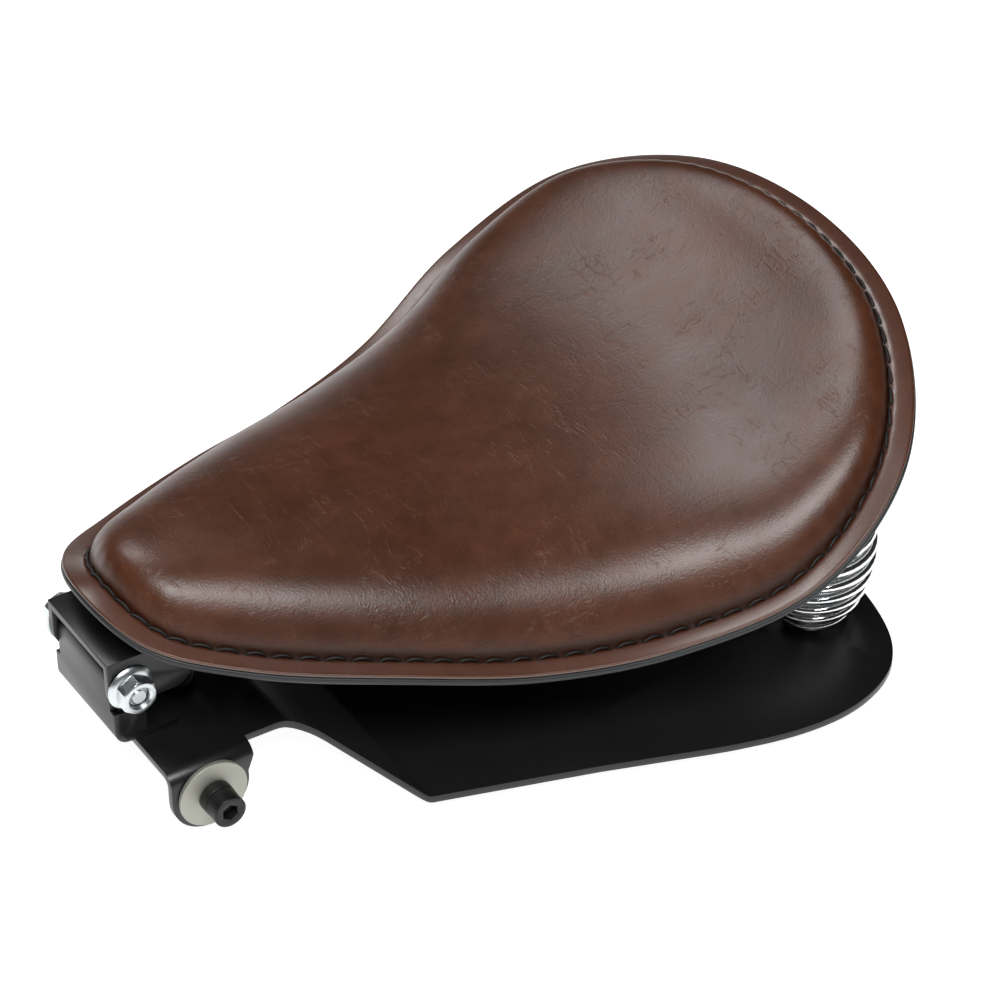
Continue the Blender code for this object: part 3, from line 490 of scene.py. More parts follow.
def rounded_rows(low, high, radius, edge=0.3 * MM, steps=3):
    """Rows of a cylinder with rounded edges, low end first."""
    turns = [math.pi / 2 * step / steps for step in range(steps + 1)]
    lower = [(low + edge * (1 - math.cos(turn)), radius - edge * (1 - math.sin(turn))) for turn in turns]
    upper = [(high - edge * (1 - math.cos(turn)), radius - edge * (1 - math.sin(turn)))
             for turn in reversed(turns)]
    return lower + upper


def nut_rows(low, high, flats, bore, flange=0.0, lip=0.0):
    """Rows of a nut, chamfered at the top and, without a flange, at the bottom."""
    def hexed(limit):
        return lambda angle: min(hexagon(flats, angle), limit)

    slope = 1.75
    chamfer = flats * 0.09
    inscribed = flats / 2 * 0.95
    rows = []
    if flange:
        rows += [(low, flange - 0.4 * MM), (low + 0.15 * MM, flange - 0.1 * MM)]
        rows += [(low + 0.4 * MM, flange), (low + 0.9 * MM, flange - 0.25 * MM)]
        rows += [(low + lip + 0.5 * MM, flats / 2 * 1.12)]
        for share in (0.0, 0.25, 0.5, 0.75):
            height = low + lip + 0.55 * MM + share * MM
            rows.append((height, hexed(flats / 2 * (1.11 + 0.06 * share))))
    else:
        for share in (0.0, 0.2, 0.4, 0.6, 0.8, 1.0):
            rise = share * chamfer
            rows.append((low + rise, hexed(inscribed + slope * rise)))
    for share in (1.0, 0.8, 0.6, 0.4, 0.2, 0.0):
        drop = share * chamfer
        rows.append((high - drop, hexed(inscribed + slope * drop)))
    if bore:
        rows += [(high, bore + 0.75 * MM), (high - 0.75 * MM, bore), (low + 0.6 * MM, bore)]
        rows += [(low, bore + 0.6 * MM)]
    return rows


# -------------------------------------------------------------- geometry trees
def new_tree(name, inputs):
    """Geometry tree with a mesh in and out and named number inputs."""
    tree = bpy.data.node_groups.new(name, "GeometryNodeTree")
    tree.interface.new_socket("Geometry", in_out="INPUT", socket_type="NodeSocketGeometry")
    tree.interface.new_socket("Geometry", in_out="OUTPUT", socket_type="NodeSocketGeometry")
    for label, kind in inputs:
        tree.interface.new_socket(label, in_out="INPUT", socket_type=kind)
    graph = Graph(tree)
    entry = tree.nodes.new("NodeGroupInput")
    values = {socket.name: Value(graph, socket) for socket in entry.outputs if socket.name}
    return tree, graph, values


def close_tree(graph, geometry, slot):
    """Ends a tree in plain geometry with its finish."""
    real = graph.node("GeometryNodeRealizeInstances", None, {0: geometry})
    material = finishes(bpy.context.scene.seat_look)[slot]
    done = graph.node("GeometryNodeSetMaterial", None, {"Geometry": real, "Material": material})
    output = graph.tree.nodes.new("NodeGroupOutput")
    graph.tree.links.new(done.socket, output.inputs[0])


def grow(thing, tree, values):
    """Runs a geometry tree on a piece and keeps the result as its mesh."""
    step = thing.modifiers.new("Build", "NODES")
    step.node_group = tree
    for item in tree.interface.items_tree:
        if item.in_out == "INPUT" and item.name in values:
            step[item.identifier] = values[item.name]
    return settle(thing)


FLOAT = "NodeSocketFloat"
INT = "NodeSocketInt"


def coil_tree():
    """Barrel spring along +Z, closed at both ends."""
    labels = [("Height", FLOAT), ("Wire", FLOAT), ("End Radius", FLOAT), ("Middle Radius", FLOAT)]
    labels += [("Turns", FLOAT), ("Steps", INT), ("Hand", FLOAT)]
    tree, graph, values = new_tree("barrel_coil", labels)
    line = graph.node("GeometryNodeCurvePrimitiveLine", None, {"End": (0, 0, 1)})
    line = graph.node("GeometryNodeResampleCurve", None, {"Curve": line, "Count": values["Steps"]})
    share = graph.node("GeometryNodeSplineParameter", out="Factor")
    angle = share * values["Turns"] * (2 * math.pi)
    swell = (share * math.pi).maths("SINE").maths("MAXIMUM", 0.0) ** 0.8
    radius = values["End Radius"] + (values["Middle Radius"] - values["End Radius"]) * swell
    spot = graph.node("ShaderNodeCombineXYZ", None, {
        "X": radius * angle.maths("COSINE"),
        "Y": radius * angle.maths("SINE") * values["Hand"],
        "Z": share * values["Height"],
    })
    path = graph.node("GeometryNodeSetPosition", None, {"Geometry": line, "Position": spot})
    close_tree(graph, graph.tube(path, values["Wire"], 14), "spring_chrome")
    return tree


def thread_tree(slot):
    """Screw thread along +Z from the origin."""
    labels = [("Length", FLOAT), ("Radius", FLOAT), ("Pitch", FLOAT)]
    tree, graph, values = new_tree("screw_thread_" + slot, labels)
    turns = values["Length"] / values["Pitch"]
    spiral = graph.node("GeometryNodeCurveSpiral", None, {
        "Resolution": 24,
        "Rotations": turns,
        "Start Radius": values["Radius"],
        "End Radius": values["Radius"],
        "Height": values["Length"],
    })
    close_tree(graph, graph.tube(spiral, values["Pitch"] * TOOTH_SHARE, 4), slot)
    return tree


def stitch_tree():
    """One saddle stitch on each point of a closed seam line."""
    labels = [("Length", FLOAT), ("Thread", FLOAT), ("Slant", FLOAT), ("Rise", FLOAT), ("Seed", INT)]
    tree, graph, values = new_tree("saddle_stitch", labels)
    seam = graph.node("GeometryNodeMeshToCurve", None, {0: values["Geometry"]})
    tangent = graph.node("GeometryNodeInputTangent")
    spread = {2: -1.0, 3: 1.0, "Seed": values["Seed"]}
    random = graph.node("FunctionNodeRandomValue", {"data_type": "FLOAT"}, spread, out=1)
    settings = {"data_type": "FLOAT_VECTOR", "domain": "POINT"}
    marked = graph.node("GeometryNodeStoreNamedAttribute", settings, {
        "Geometry": seam,
        "Name": "run",
        "Value": tangent,
    })
    points = graph.node("GeometryNodeCurveToPoints", {"mode": "EVALUATED"}, {"Curve": marked})
    run = graph.node("GeometryNodeInputNamedAttribute", {"data_type": "FLOAT_VECTOR"}, {"Name": "run"})
    along = graph.node("FunctionNodeAlignRotationToVector", {"axis": "X"}, {"Vector": run})
    upright = graph.node("FunctionNodeAlignRotationToVector", {"axis": "Z", "pivot_axis": "X"}, {
        "Rotation": along,
        "Vector": (0, 0, 1),
    })
    half = values["Length"] * 0.5
    slant = graph.node("FunctionNodeAxisAngleToRotation", None, {
        "Axis": (0, 0, 1),
        "Angle": values["Slant"] + random * 0.05,
    })
    facing = graph.node("FunctionNodeRotateRotation", {"rotation_space": "LOCAL"}, {0: upright, 1: slant})
    bend = {"Resolution": 8}
    for name, along_share, rise_share in (
            ("Start", -1.0, -1.6), ("Start Handle", -0.75, 1.1),
            ("End Handle", 0.75, 1.1), ("End", 1.0, -1.6)):
        bend[name] = graph.node("ShaderNodeCombineXYZ", None, {
            "X": half * along_share,
            "Z": values["Rise"] * rise_share,
        })
    bow = graph.node("GeometryNodeCurvePrimitiveBezierSegment", None, bend)
    stitch = graph.tube(bow, values["Thread"], 8)
    laid = graph.node("GeometryNodeInstanceOnPoints", None, {
        "Points": points,
        "Instance": stitch,
        "Rotation": facing,
    })
    close_tree(graph, laid, "black_thread")
    return tree


# ----------------------------------------------------------------- seat shape
# Stations from nose to rear: share of the length, share of the half width
# and height of the rim's top edge.
RIM_STATIONS = (
    (0.000, 0.000, 81 * MM),
    (0.030, 0.250, 73 * MM),
    (0.120, 0.418, 64 * MM),
    (0.270, 0.602, 55 * MM),
    (0.420, 0.751, 47 * MM),
    (0.570, 0.880, 49 * MM),
    (0.720, 0.998, 67 * MM),
    (0.860, 0.902, 95.5 * MM),
    (0.965, 0.522, 117.5 * MM),
    (1.000, 0.000, 124 * MM),
)
SEAT_LENGTH = 330 * MM
SEAT_WIDTH = 258 * MM
NOSE_X = 196 * MM
SKIRT_WIDTH = 10 * MM
LEATHER = 1.6 * MM
LINING = 3.0 * MM
PAN_STEEL = 2.0 * MM
PAN_EDGE_INSET = 2.8 * MM
LINING_LAP = 7 * MM
PAN_SIDE_POWER = 2.2
# Stations of the pan's middle between the seam's two ends: distance behind
# the nose and height.
PAN_STATIONS = (
    (0.026, 71.5 * MM),
    (0.040, 68.5 * MM),
    (0.060, 67.0 * MM),
    (0.080, 66.5 * MM),
    (0.139, 59.0 * MM),
    (0.196, 59.5 * MM),
    (0.241, 67.5 * MM),
    (0.281, 86.0 * MM),
    (0.303, 103.0 * MM),
)
# The same for the padding, which rounds off the pan's flat nose.
CROWN_STATIONS = (
    (0.032, 71.0 * MM),
    (0.062, 67.0 * MM),
    (0.100, 62.8 * MM),
    (0.145, 59.4 * MM),
    (0.196, 60.2 * MM),
    (0.241, 68.0 * MM),
    (0.281, 85.6 * MM),
    (0.303, 102.0 * MM),
)
SPINE_FRONT = NOSE_X - 38 * MM
SPINE_REAR = NOSE_X - SEAT_LENGTH + 45 * MM
POINTS_PER_STITCH = 8
SEAM_INSET = 9 * MM
SEAM_DIP = 0.5 * MM
STITCH_SHARE = 0.8
STITCH_RISE = 0.75 * MM
PUCKER = 0.35 * MM
CROWN_CROWDING = 1.7
PAN_GAP = 0.3 * MM


def smooth_heights(stations, places):
    """Heights on a smooth curve through stations of (place, height)."""
    line = np.array(stations)
    line = np.concatenate([[2 * line[0] - line[1]], line, [2 * line[-1] - line[-2]]])
    dense = []
    for a, b, c, d in zip(line, line[1:], line[2:], line[3:]):
        for t in np.arange(16) / 16:
            bend = (2 * a - 5 * b + 4 * c - d) * t ** 2 + (3 * b - a - 3 * c + d) * t ** 3
            dense.append(b + ((c - a) * t + bend) / 2)
    dense.append(line[-2])
    dense = np.array(dense)
    return np.interp(places, dense[:, 0], dense[:, 1])


class SeatShape:
    """Rings of the seat, from the rim inward to the spine of the pan."""

    def __init__(self, stitches):
        self.count = stitches * POINTS_PER_STITCH
        half = self.half_rim(self.count // 2)
        right = half[-2:0:-1] * np.array([1, -1, 1])
        self.rim = np.concatenate([half, right])
        self.rim[:, 2] -= LEATHER
        ahead = np.roll(self.rim, -1, axis=0) - np.roll(self.rim, 1, axis=0)
        inward = np.stack([ahead[:, 1], -ahead[:, 0]], axis=1)
        middle = np.array([self.rim[:, 0].mean(), 0.0])
        inward *= np.sign(np.sum(inward * (middle - self.rim[:, :2]), axis=1).mean())
        self.inward = inward / np.linalg.norm(inward, axis=1)[:, None]
        share = (self.rim[:, 0] - self.rim[:, 0].min()) / SEAT_LENGTH
        spine_x = SPINE_REAR + share * (SPINE_FRONT - SPINE_REAR)
        self.spine = np.stack([spine_x, np.zeros_like(spine_x), np.zeros_like(spine_x)], axis=1)
        self.crease = self.skirt(SKIRT_WIDTH)
        self.edge = self.crease[:self.count // 2 + 1][::-1]
        ends = [(NOSE_X - x, z) for x, y, z in (self.edge[-1], self.edge[0])]
        self.middle = [ends[0], *PAN_STATIONS, ends[1]]
        self.crown_middle = [ends[0], *CROWN_STATIONS, ends[1]]
        self.spine[:, 2] = self.height(self.spine)
        self.reach = np.linalg.norm((self.spine - self.crease)[:, :2], axis=1)

    def half_rim(self, steps):
        """Evenly spaced points along the left half of the rim, nose to rear."""
        knots = [(NOSE_X - share * SEAT_LENGTH, wide * SEAT_WIDTH / 2, height)
                 for share, wide, height in RIM_STATIONS]
        mirrored = [(x, -y, z) for x, y, z in reversed(knots[1:-1])]
        loop = np.array(knots + mirrored)
        dense = []
        for index in range(len(knots) - 1):
            p0, p1, p2, p3 = (loop[(index + shift) % len(loop)] for shift in (-1, 0, 1, 2))
            d0, d1, d2 = (np.linalg.norm(b - a) ** 0.5 for a, b in ((p0, p1), (p1, p2), (p2, p3)))
            m1 = (p2 - p1) + d1 * ((p1 - p0) / d0 - (p2 - p0) / (d0 + d1))
            m2 = (p2 - p1) + d1 * ((p3 - p2) / d2 - (p3 - p1) / (d1 + d2))
            for t in np.arange(60) / 60:
                point = (2 * t ** 3 - 3 * t ** 2 + 1) * p1 + (t ** 3 - 2 * t ** 2 + t) * m1
                dense.append(point + (-2 * t ** 3 + 3 * t ** 2) * p2 + (t ** 3 - t ** 2) * m2)
        dense.append(loop[len(knots) - 1])
        dense = np.array(dense)
        run = np.concatenate([[0], np.cumsum(np.linalg.norm(np.diff(dense, axis=0), axis=1))])
        places = np.linspace(0, run[-1], steps + 1)
        return np.stack([np.interp(places, run, dense[:, axis]) for axis in range(3)], axis=1)

    def skirt(self, inset, lift=0.0):
        """Ring an inset in from the rim, lifted above the skirt's underside."""
        ring = self.rim.copy()
        ring[:, :2] += self.inward * inset
        ring[:, 2] += lift
        return ring

    def height(self, points, stations=None):
        """Height over the pan: a middle line, the pan's own at first, bent to the seam."""
        x, y = points[:, 0], np.abs(points[:, 1])
        wide = np.interp(x, self.edge[:, 0], self.edge[:, 1])
        side = np.interp(x, self.edge[:, 0], self.edge[:, 2])
        middle = smooth_heights(stations or self.middle, NOSE_X - x)
        share = np.clip(y / np.maximum(wide, 0.01 * MM), 0, 1)
        return middle + (side - middle) * share ** PAN_SIDE_POWER

    def base(self, share, lift=0.0, stations=None):
        """Ring over the pan, a share of the way from crease to spine."""
        share = np.broadcast_to(share, self.count)[:, None]
        ring = self.crease + share * (self.spine - self.crease)
        ring[:, 2] = self.height(ring, stations) + lift
        return ring

    def depth(self, points):
        """Smooth distance from the crease: exact near it, and without a ridge inside."""
        line = self.crease[:, :2]
        fine = np.concatenate([line + (np.roll(line, -1, axis=0) - line) * t for t in (0, 0.5)])
        step = np.linalg.norm(np.roll(line, -1, axis=0) - line, axis=1) / 2
        step = np.concatenate([step, step])
        made = np.zeros(len(points))
        for first in range(0, len(points), 2000):
            part = points[first:first + 2000]
            apart = ((part[:, None, :2] - fine[None]) ** 2).sum(axis=2)
            nearest = np.sqrt(apart.min(axis=1))
            pull = (step / np.maximum(apart, 1e-8) ** 2).sum(axis=1)
            smooth = (math.pi / (2 * pull)) ** (1 / 3)
            blend = np.clip((nearest - 2 * MM) / (8 * MM), 0, 1)
            made[first:first + 2000] = nearest + (smooth - nearest) * blend
        return made


def mirror_average(field, count):
    """Makes a ring-by-ring field alike on both sides."""
    order = [(-index) % count for index in range(count)]
    return 0.5 * (field + field[:, order])


def build_cover(props):
    """Padded top leather with its skirt and its cut edge."""
    shape = SeatShape(props.stitches)
    phase = np.arange(shape.count) / POINTS_PER_STITCH * 2 * math.pi
    pull = 0.5 - 0.5 * np.cos(phase)
    # Inset from the rim in millimetres and height in leathers, from the cut edge to the seam.
    skirt_rows = [
        (0.45, 0.03), (0.12, 0.15), (0.0, 0.36), (0.02, 0.65), (0.2, 0.88), (0.6, 0.98), (1.3, 1.03),
        (2.4, 1.08), (4.0, 1.1), (5.6, 1.08), (6.7, 1.02), (7.5, 0.9), (8.2, 0.75), (8.9, 0.65), (9.5, 0.6),
    ]
    # How far the first rows show the raw cut edge.
    cut_shares = {0: 1.0, 1: 1.0, 2: 1.0, 3: 0.35}
    rings, flags = [], []
    for index, (inset, lift) in enumerate(skirt_rows):
        dip = math.exp(-((inset - 9.2) / 1.1) ** 2) * SEAM_DIP
        ring = shape.skirt(inset * MM)
        ring[:, 2] += lift * LEATHER - dip * (1 - pull)
        rings.append(ring)
        # Seam weight: how much painted shade darkens the groove along the seam.
        seam = math.exp(-((inset - 9.5) / 0.7) ** 2)
        # Band weight: where the skirt gets its painted sheen colour, and where its clear coat lies.
        band = 1.0 if 1.0 < inset < 8.0 else 0.0
        flags.append((cut_shares.get(index, 0.0), seam, band))
    rows = props.crown_rows
    top = np.array([shape.base((row / rows) ** CROWN_CROWDING, 0.0, shape.crown_middle)
                    for row in range(rows + 1)])
    depth = shape.depth(top.reshape(-1, 3)).reshape(top.shape[:2])
    depth[0] = 0.0
    depth = mirror_average(depth, shape.count)
    rise = props.padding * (1 - np.exp(-2 * depth / props.shoulder)) ** props.fullness
    top[:, :, 2] += 0.6 * LEATHER + rise
    pucker = np.exp(-((depth - 2.0 * MM) / (2.2 * MM)) ** 2) * PUCKER
    top[:, :, 2] += pucker * (pull[None, :] - 0.5) * (depth > 0)
    for ring, into in zip(top[1:], depth[1:]):
        rings.append(ring)
        near = float(np.median(into)) / MM
        # Crown rows next to the crease share the seam's painted shade.
        flags.append((0.0, math.exp(-(near / 0.8) ** 2), 0.0))
    under = [shape.base(share, PAN_GAP) for share in (1.0, 0.74, 0.5, 0.32, 0.18, 0.08, 0.02)]
    under.append(shape.skirt(SKIRT_WIDTH - 1.5 * MM, 0.1 * MM))
    return marked_skin("seat_cover", under + rings, [(0.0, 0.0, 0.0)] * len(under) + flags), shape


def marked_skin(name, rings, flags):
    """Open skin whose rings carry how much each is cut edge, seam with its painted shade and skirt band with
    its painted sheen.
    """
    work = bmesh.new()
    layers = [work.verts.layers.float.new(label) for label in ("cut", "seam", "band")]
    grid = []
    for ring, values in zip(rings, flags):
        line = []
        for point in ring:
            vert = work.verts.new(point)
            for layer, value in zip(layers, values):
                vert[layer] = value
            line.append(vert)
        grid.append(line)
    weave(work, grid)
    return from_bmesh(name, work)


def build_stitches(shape, props):
    """Seam line with one point a stitch, and the stitches on it."""
    step = POINTS_PER_STITCH
    seam = shape.skirt(SEAM_INSET, 0.8 * LEATHER + props.thread_width * 0.45)[step // 2::step]
    mesh = bpy.data.meshes.new("stitches")
    count = len(seam)
    mesh.from_pydata([tuple(p) for p in seam], [(i, (i + 1) % count) for i in range(count)], [])
    host = link(bpy.data.objects.new("stitches", mesh))
    length = float(np.linalg.norm(np.roll(seam, -1, axis=0) - seam, axis=1).mean())
    return grow(host, stitch_tree(), {
        "Length": length * STITCH_SHARE,
        "Thread": props.thread_width / 2,
        "Slant": math.radians(6),
        "Rise": STITCH_RISE,
        "Seed": 4,
    })


def build_lining(shape):
    """Black leather under the skirt, lapped under the edge of the pan."""
    # Inset from the rim in millimetres and depth in linings, round its outer edge.
    rows = [
        (9.3, 0.04), (7, 0.04), (4, 0.04), (1.5, 0.04), (0.5, 0.04), (0.0, 0.055), (-0.35, 0.13),
        (-0.55, 0.28), (-0.62, 0.5), (-0.5, 0.72), (-0.2, 0.9), (0.2, 1.0), (0.8, 1.06),
        (2, 1.1), (5, 1.2), (8, 1.55), (9.5, 1.75),
    ]
    rings = [shape.skirt(inset * MM, -drop * LINING) for inset, drop in rows]
    drop = PAN_STEEL + 2 * PAN_GAP
    edge, lap = (inset / shape.reach for inset in (PAN_EDGE_INSET, LINING_LAP))
    rings += [shape.base(edge, -drop - LINING), shape.base(lap, -drop - LINING)]
    rings += [shape.base(lap, -drop), shape.base(edge, -drop), shape.skirt(9.6 * MM, -drop)]
    return skin("skirt_lining", rings, closed_loop=True)


def build_pan(shape):
    """Pressed steel pan under the padding."""
    first = PAN_EDGE_INSET / shape.reach
    shares = [first] + [np.maximum(share, first + 0.01) for share in (
        0.07, 0.11, 0.16, 0.22, 0.29, 0.37, 0.46, 0.56, 0.67, 0.78, 0.89, 1.0)]
    top = [shape.base(share, 0.0) for share in shares]
    under = [shape.base(share, -PAN_STEEL) for share in shares]
    return skin("pressed_pan", list(reversed(top)) + under)


# ----------------------------------------------------------------- properties
def length(name, description, default, low=0.0, high=1.0):
    return FloatProperty(
        name=name, description=description, default=default, min=low, max=high,
        subtype="DISTANCE", unit="LENGTH")


def colour(name, description, default):
    return FloatVectorProperty(
        name=name, description=description, default=default, min=0.0, max=1.0, size=3,
        subtype="COLOR")


class SeatProps(bpy.types.PropertyGroup):
    padding: length("Padding", "Height of the padding above the pan", 24 * MM, 0.005, 0.06)
    shoulder: length("Shoulder", "Distance over which the padding rises", 22 * MM, 0.01, 0.2)
    fullness: FloatProperty(
        name="Fullness", description="Lower values make the padding rise faster from the seam",
        default=0.7, min=0.3, max=1.5)
    stitches: IntProperty(
        name="Stitches", description="Number of stitches round the seat", default=96, min=24, max=200)
    thread_width: length("Thread", "Thickness of the stitching thread", 1.15 * MM, 0.0003, 0.003)
    crown_rows: IntProperty(
        name="Crown Rows", description="Rows of mesh over the padding", default=46, min=10, max=90)


class LookProps(bpy.types.PropertyGroup):
    leather: colour("Leather", "Colour of the brown leather", (0.066, 0.0195, 0.0075))
    # Skirt colour: the brown leather lightened and greyed as a painted sheen of grazing reflection along the
    # skirt.
    skirt: colour("Skirt", "Colour of the skirt round the seam", (0.085, 0.036, 0.025))
    cut_edge: colour("Cut Edge", "Raw edge of the top leather", (0.16, 0.11, 0.09))
    leather_gloss: FloatProperty(
        name="Leather Roughness", description="Roughness of the brown leather", default=0.26,
        min=0.05, max=1.0, subtype="FACTOR")
    grain_depth: length("Grain", "Depth of the leather's grain", 0.18 * MM, 0.0, 0.001)
    lining: colour("Lining", "Colour of the black leather", (0.012, 0.013, 0.015))
    thread: colour("Thread", "Colour of the stitching thread", (0.008, 0.007, 0.007))
    coat: colour("Powder Coat", "Colour of the coated steel", (0.006, 0.006, 0.0064))
    coat_gloss: FloatProperty(
        name="Coat Roughness", description="Roughness of the coated steel", default=0.32,
        min=0.05, max=1.0, subtype="FACTOR")
    oxide: colour("Black Oxide", "Colour of the blackened screws", (0.02, 0.02, 0.02))
    zinc: colour("Zinc", "Colour of the plated nuts", (0.62, 0.66, 0.67))
    washer: colour("Washer", "Colour of the large washer", (0.42, 0.42, 0.37))
    chrome: colour("Chrome", "Colour of the springs", (0.80, 0.81, 0.82))
    floor: colour("Floor", "Colour of the studio floor", (0.5, 0.5, 0.5))
    floor_glow: FloatProperty(
        name="Floor Glow", description="Light given off by the floor", default=0.95, min=0.0, max=3.0)


class HardwareProps(bpy.types.PropertyGroup):
    edge: length("Edge Rounding", "Rounding of the edges of cut steel", 0.45 * MM, 0.0, 0.003)
    pitch: length("Thread Pitch", "Pitch of the M8 threads", 1.25 * MM, 0.0005, 0.002)
    spring_turns: FloatProperty(name="Turns", description="Turns of each spring", default=10.0, min=3, max=20)


class StageProps(bpy.types.PropertyGroup):
    azimuth: FloatProperty(
        name="Azimuth", description="Bearing of the camera", default=math.radians(147.327), subtype="ANGLE")
    elevation: FloatProperty(
        name="Elevation", description="Height of the camera above the horizon",
        default=math.radians(37.970), subtype="ANGLE")
    roll: FloatProperty(
        name="Roll", description="Turn of the camera about its own axis", default=math.radians(-0.2525),
        subtype="ANGLE")
    distance: length("Distance", "Distance from the camera to its target", 1.50006, 0.2, 10.0)
    target: FloatVectorProperty(
        name="Target", description="Point the camera looks at", default=(0.03319, 0.02758, 0.07138),
        size=3, subtype="TRANSLATION", unit="LENGTH")
    lens: FloatProperty(name="Lens", description="Focal length of the camera in millimetres", default=144.0)
    world: FloatProperty(name="World Light", description="Strength of the room's light", default=0.03)


# ------------------------------------------------------------------ operators
class SOLOSEAT_OT_cushion(bpy.types.Operator):
    """Padded leather cover, its stitches, lining and pan"""
    bl_idname = "soloseat.cushion"
    bl_label = "Build Cushion"

    def execute(self, context):
        props = context.scene.seat_shape
        cover, shape = build_cover(props)
        finish_piece(cover, "seat", "brown_leather", ("leather_cover", "foam_pad"), 60)
        stitches = build_stitches(shape, props)
        finish_piece(stitches, "seat", "black_thread", ("stitching_thread",), 60)
        finish_piece(build_lining(shape), "seat", "black_leather", ("leather_lining",), 50)
        finish_piece(build_pan(shape), "seat", "black_powder_coat", ("seat_pan",), 50)
        return {"FINISHED"}


class SOLOSEAT_OT_plates(bpy.types.Operator):
    """Base plate and the two hinge brackets"""
    bl_idname = "soloseat.plates"
    bl_label = "Build Plates"

    def execute(self, context):
        edge = context.scene.seat_hardware.edge
        for node, body in (
                ("base_plate", "base"), ("base_hinge_bracket", "base"), ("seat_hinge_bracket", "seat"),
                ("spring_perch_left", "seat"), ("spring_perch_right", "seat")):
            piece = bevel(cad_copy(node + "_coated", node), edge)
            finish_piece(piece, body, "black_powder_coat", (node,))
        return {"FINISHED"}


class SOLOSEAT_OT_springs(bpy.types.Operator):
    """Barrel springs between the base plate and the pan"""
    bl_idname = "soloseat.springs"
    bl_label = "Build Springs"

    def execute(self, context):
        hardware = context.scene.seat_hardware
        tree = coil_tree()
        for name, side in SIDES:
            low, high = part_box("spring_" + name)
            coil = link(bpy.data.objects.new("coil_" + name, bpy.data.meshes.new("coil_" + name)))
            grow(coil, tree, {
                "Height": high.z - low.z - 2 * SPRING_WIRE,
                "Wire": SPRING_WIRE,
                "End Radius": SPRING_END_RADIUS,
                "Middle Radius": SPRING_MIDDLE_RADIUS,
                "Turns": hardware.spring_turns,
                "Steps": SPRING_STEPS,
                "Hand": float(side),
            })
            foot = Vector((SPRING_X, side * SPRING_Y, low.z + SPRING_WIRE))
            coil.data.transform(Matrix.Translation(foot))
            finish_piece(coil, None, "spring_chrome", ("spring_" + name,), 80)
            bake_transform(coil)
        return {"FINISHED"}


def threaded(name, rows, axis, place, span, pitch, tree, radius=M8_SHANK, sides=48):
    """Shank with a screw thread over a span of its length."""
    core = lathe(name + "_core", rows, axis, place, sides, bored=False)
    ridge = link(bpy.data.objects.new(name + "_ridge", bpy.data.meshes.new(name + "_ridge")))
    grow(ridge, tree, {
        "Length": span[1] - span[0],
        "Radius": radius - TOOTH_SHARE * pitch,
        "Pitch": pitch,
    })
    shift = Matrix.Translation((0, 0, span[0]))
    ridge.data.transform(Matrix.Translation(place) @ AXES[axis] @ shift)
    return join(name, [core, ridge])


def place_of(node, axis):
    """Box of a CAD node, and the point where its axis meets the plane through the origin."""
    low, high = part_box(node)
    place = (low + high) / 2
    place["xyz".index(axis)] = 0
    return low, high, place


def socket_rows(face, flats, depth, mouth, foot, bottom):
    """Rows of a hexagonal socket, from its mouth down to its conical bottom.

    The mouth is the chamfer's depth and its radius on the face.
    """
    def hexed(angle):
        return hexagon(flats, angle, 1.0)

    rows = [(face, mouth[1])] if mouth[1] else []
    rows += [(face - mouth[0], hexed), (face - depth, hexed)]
    return rows + [(face - bottom, foot)]


def nut(name, node, axis, body, flats=M8_FLATS, bore=M8_NUT_BORE, flange=0.0, lip=0.0):
    """Plated nut in a CAD nut's place, with a flange where asked."""
    low, high, place = place_of(node, axis)
    step = "xyz".index(axis)
    rows = nut_rows(low[step], high[step], flats, bore, flange, lip)
    return finish_piece(lathe(name, rows, axis, place), body, "bright_zinc", (node,))


def washer(name, node, axis, body, slot, radius, edge, sides=48):
    """Washer or collar with rounded edges."""
    low, high, place = place_of(node, axis)
    step = "xyz".index(axis)
    rows = rounded_rows(low[step], high[step], radius, edge)
    rows += [(high[step], M8_CLEAR_BORE), (low[step], M8_CLEAR_BORE)]
    return finish_piece(lathe(name, rows, axis, place, sides), body, slot, (node,))


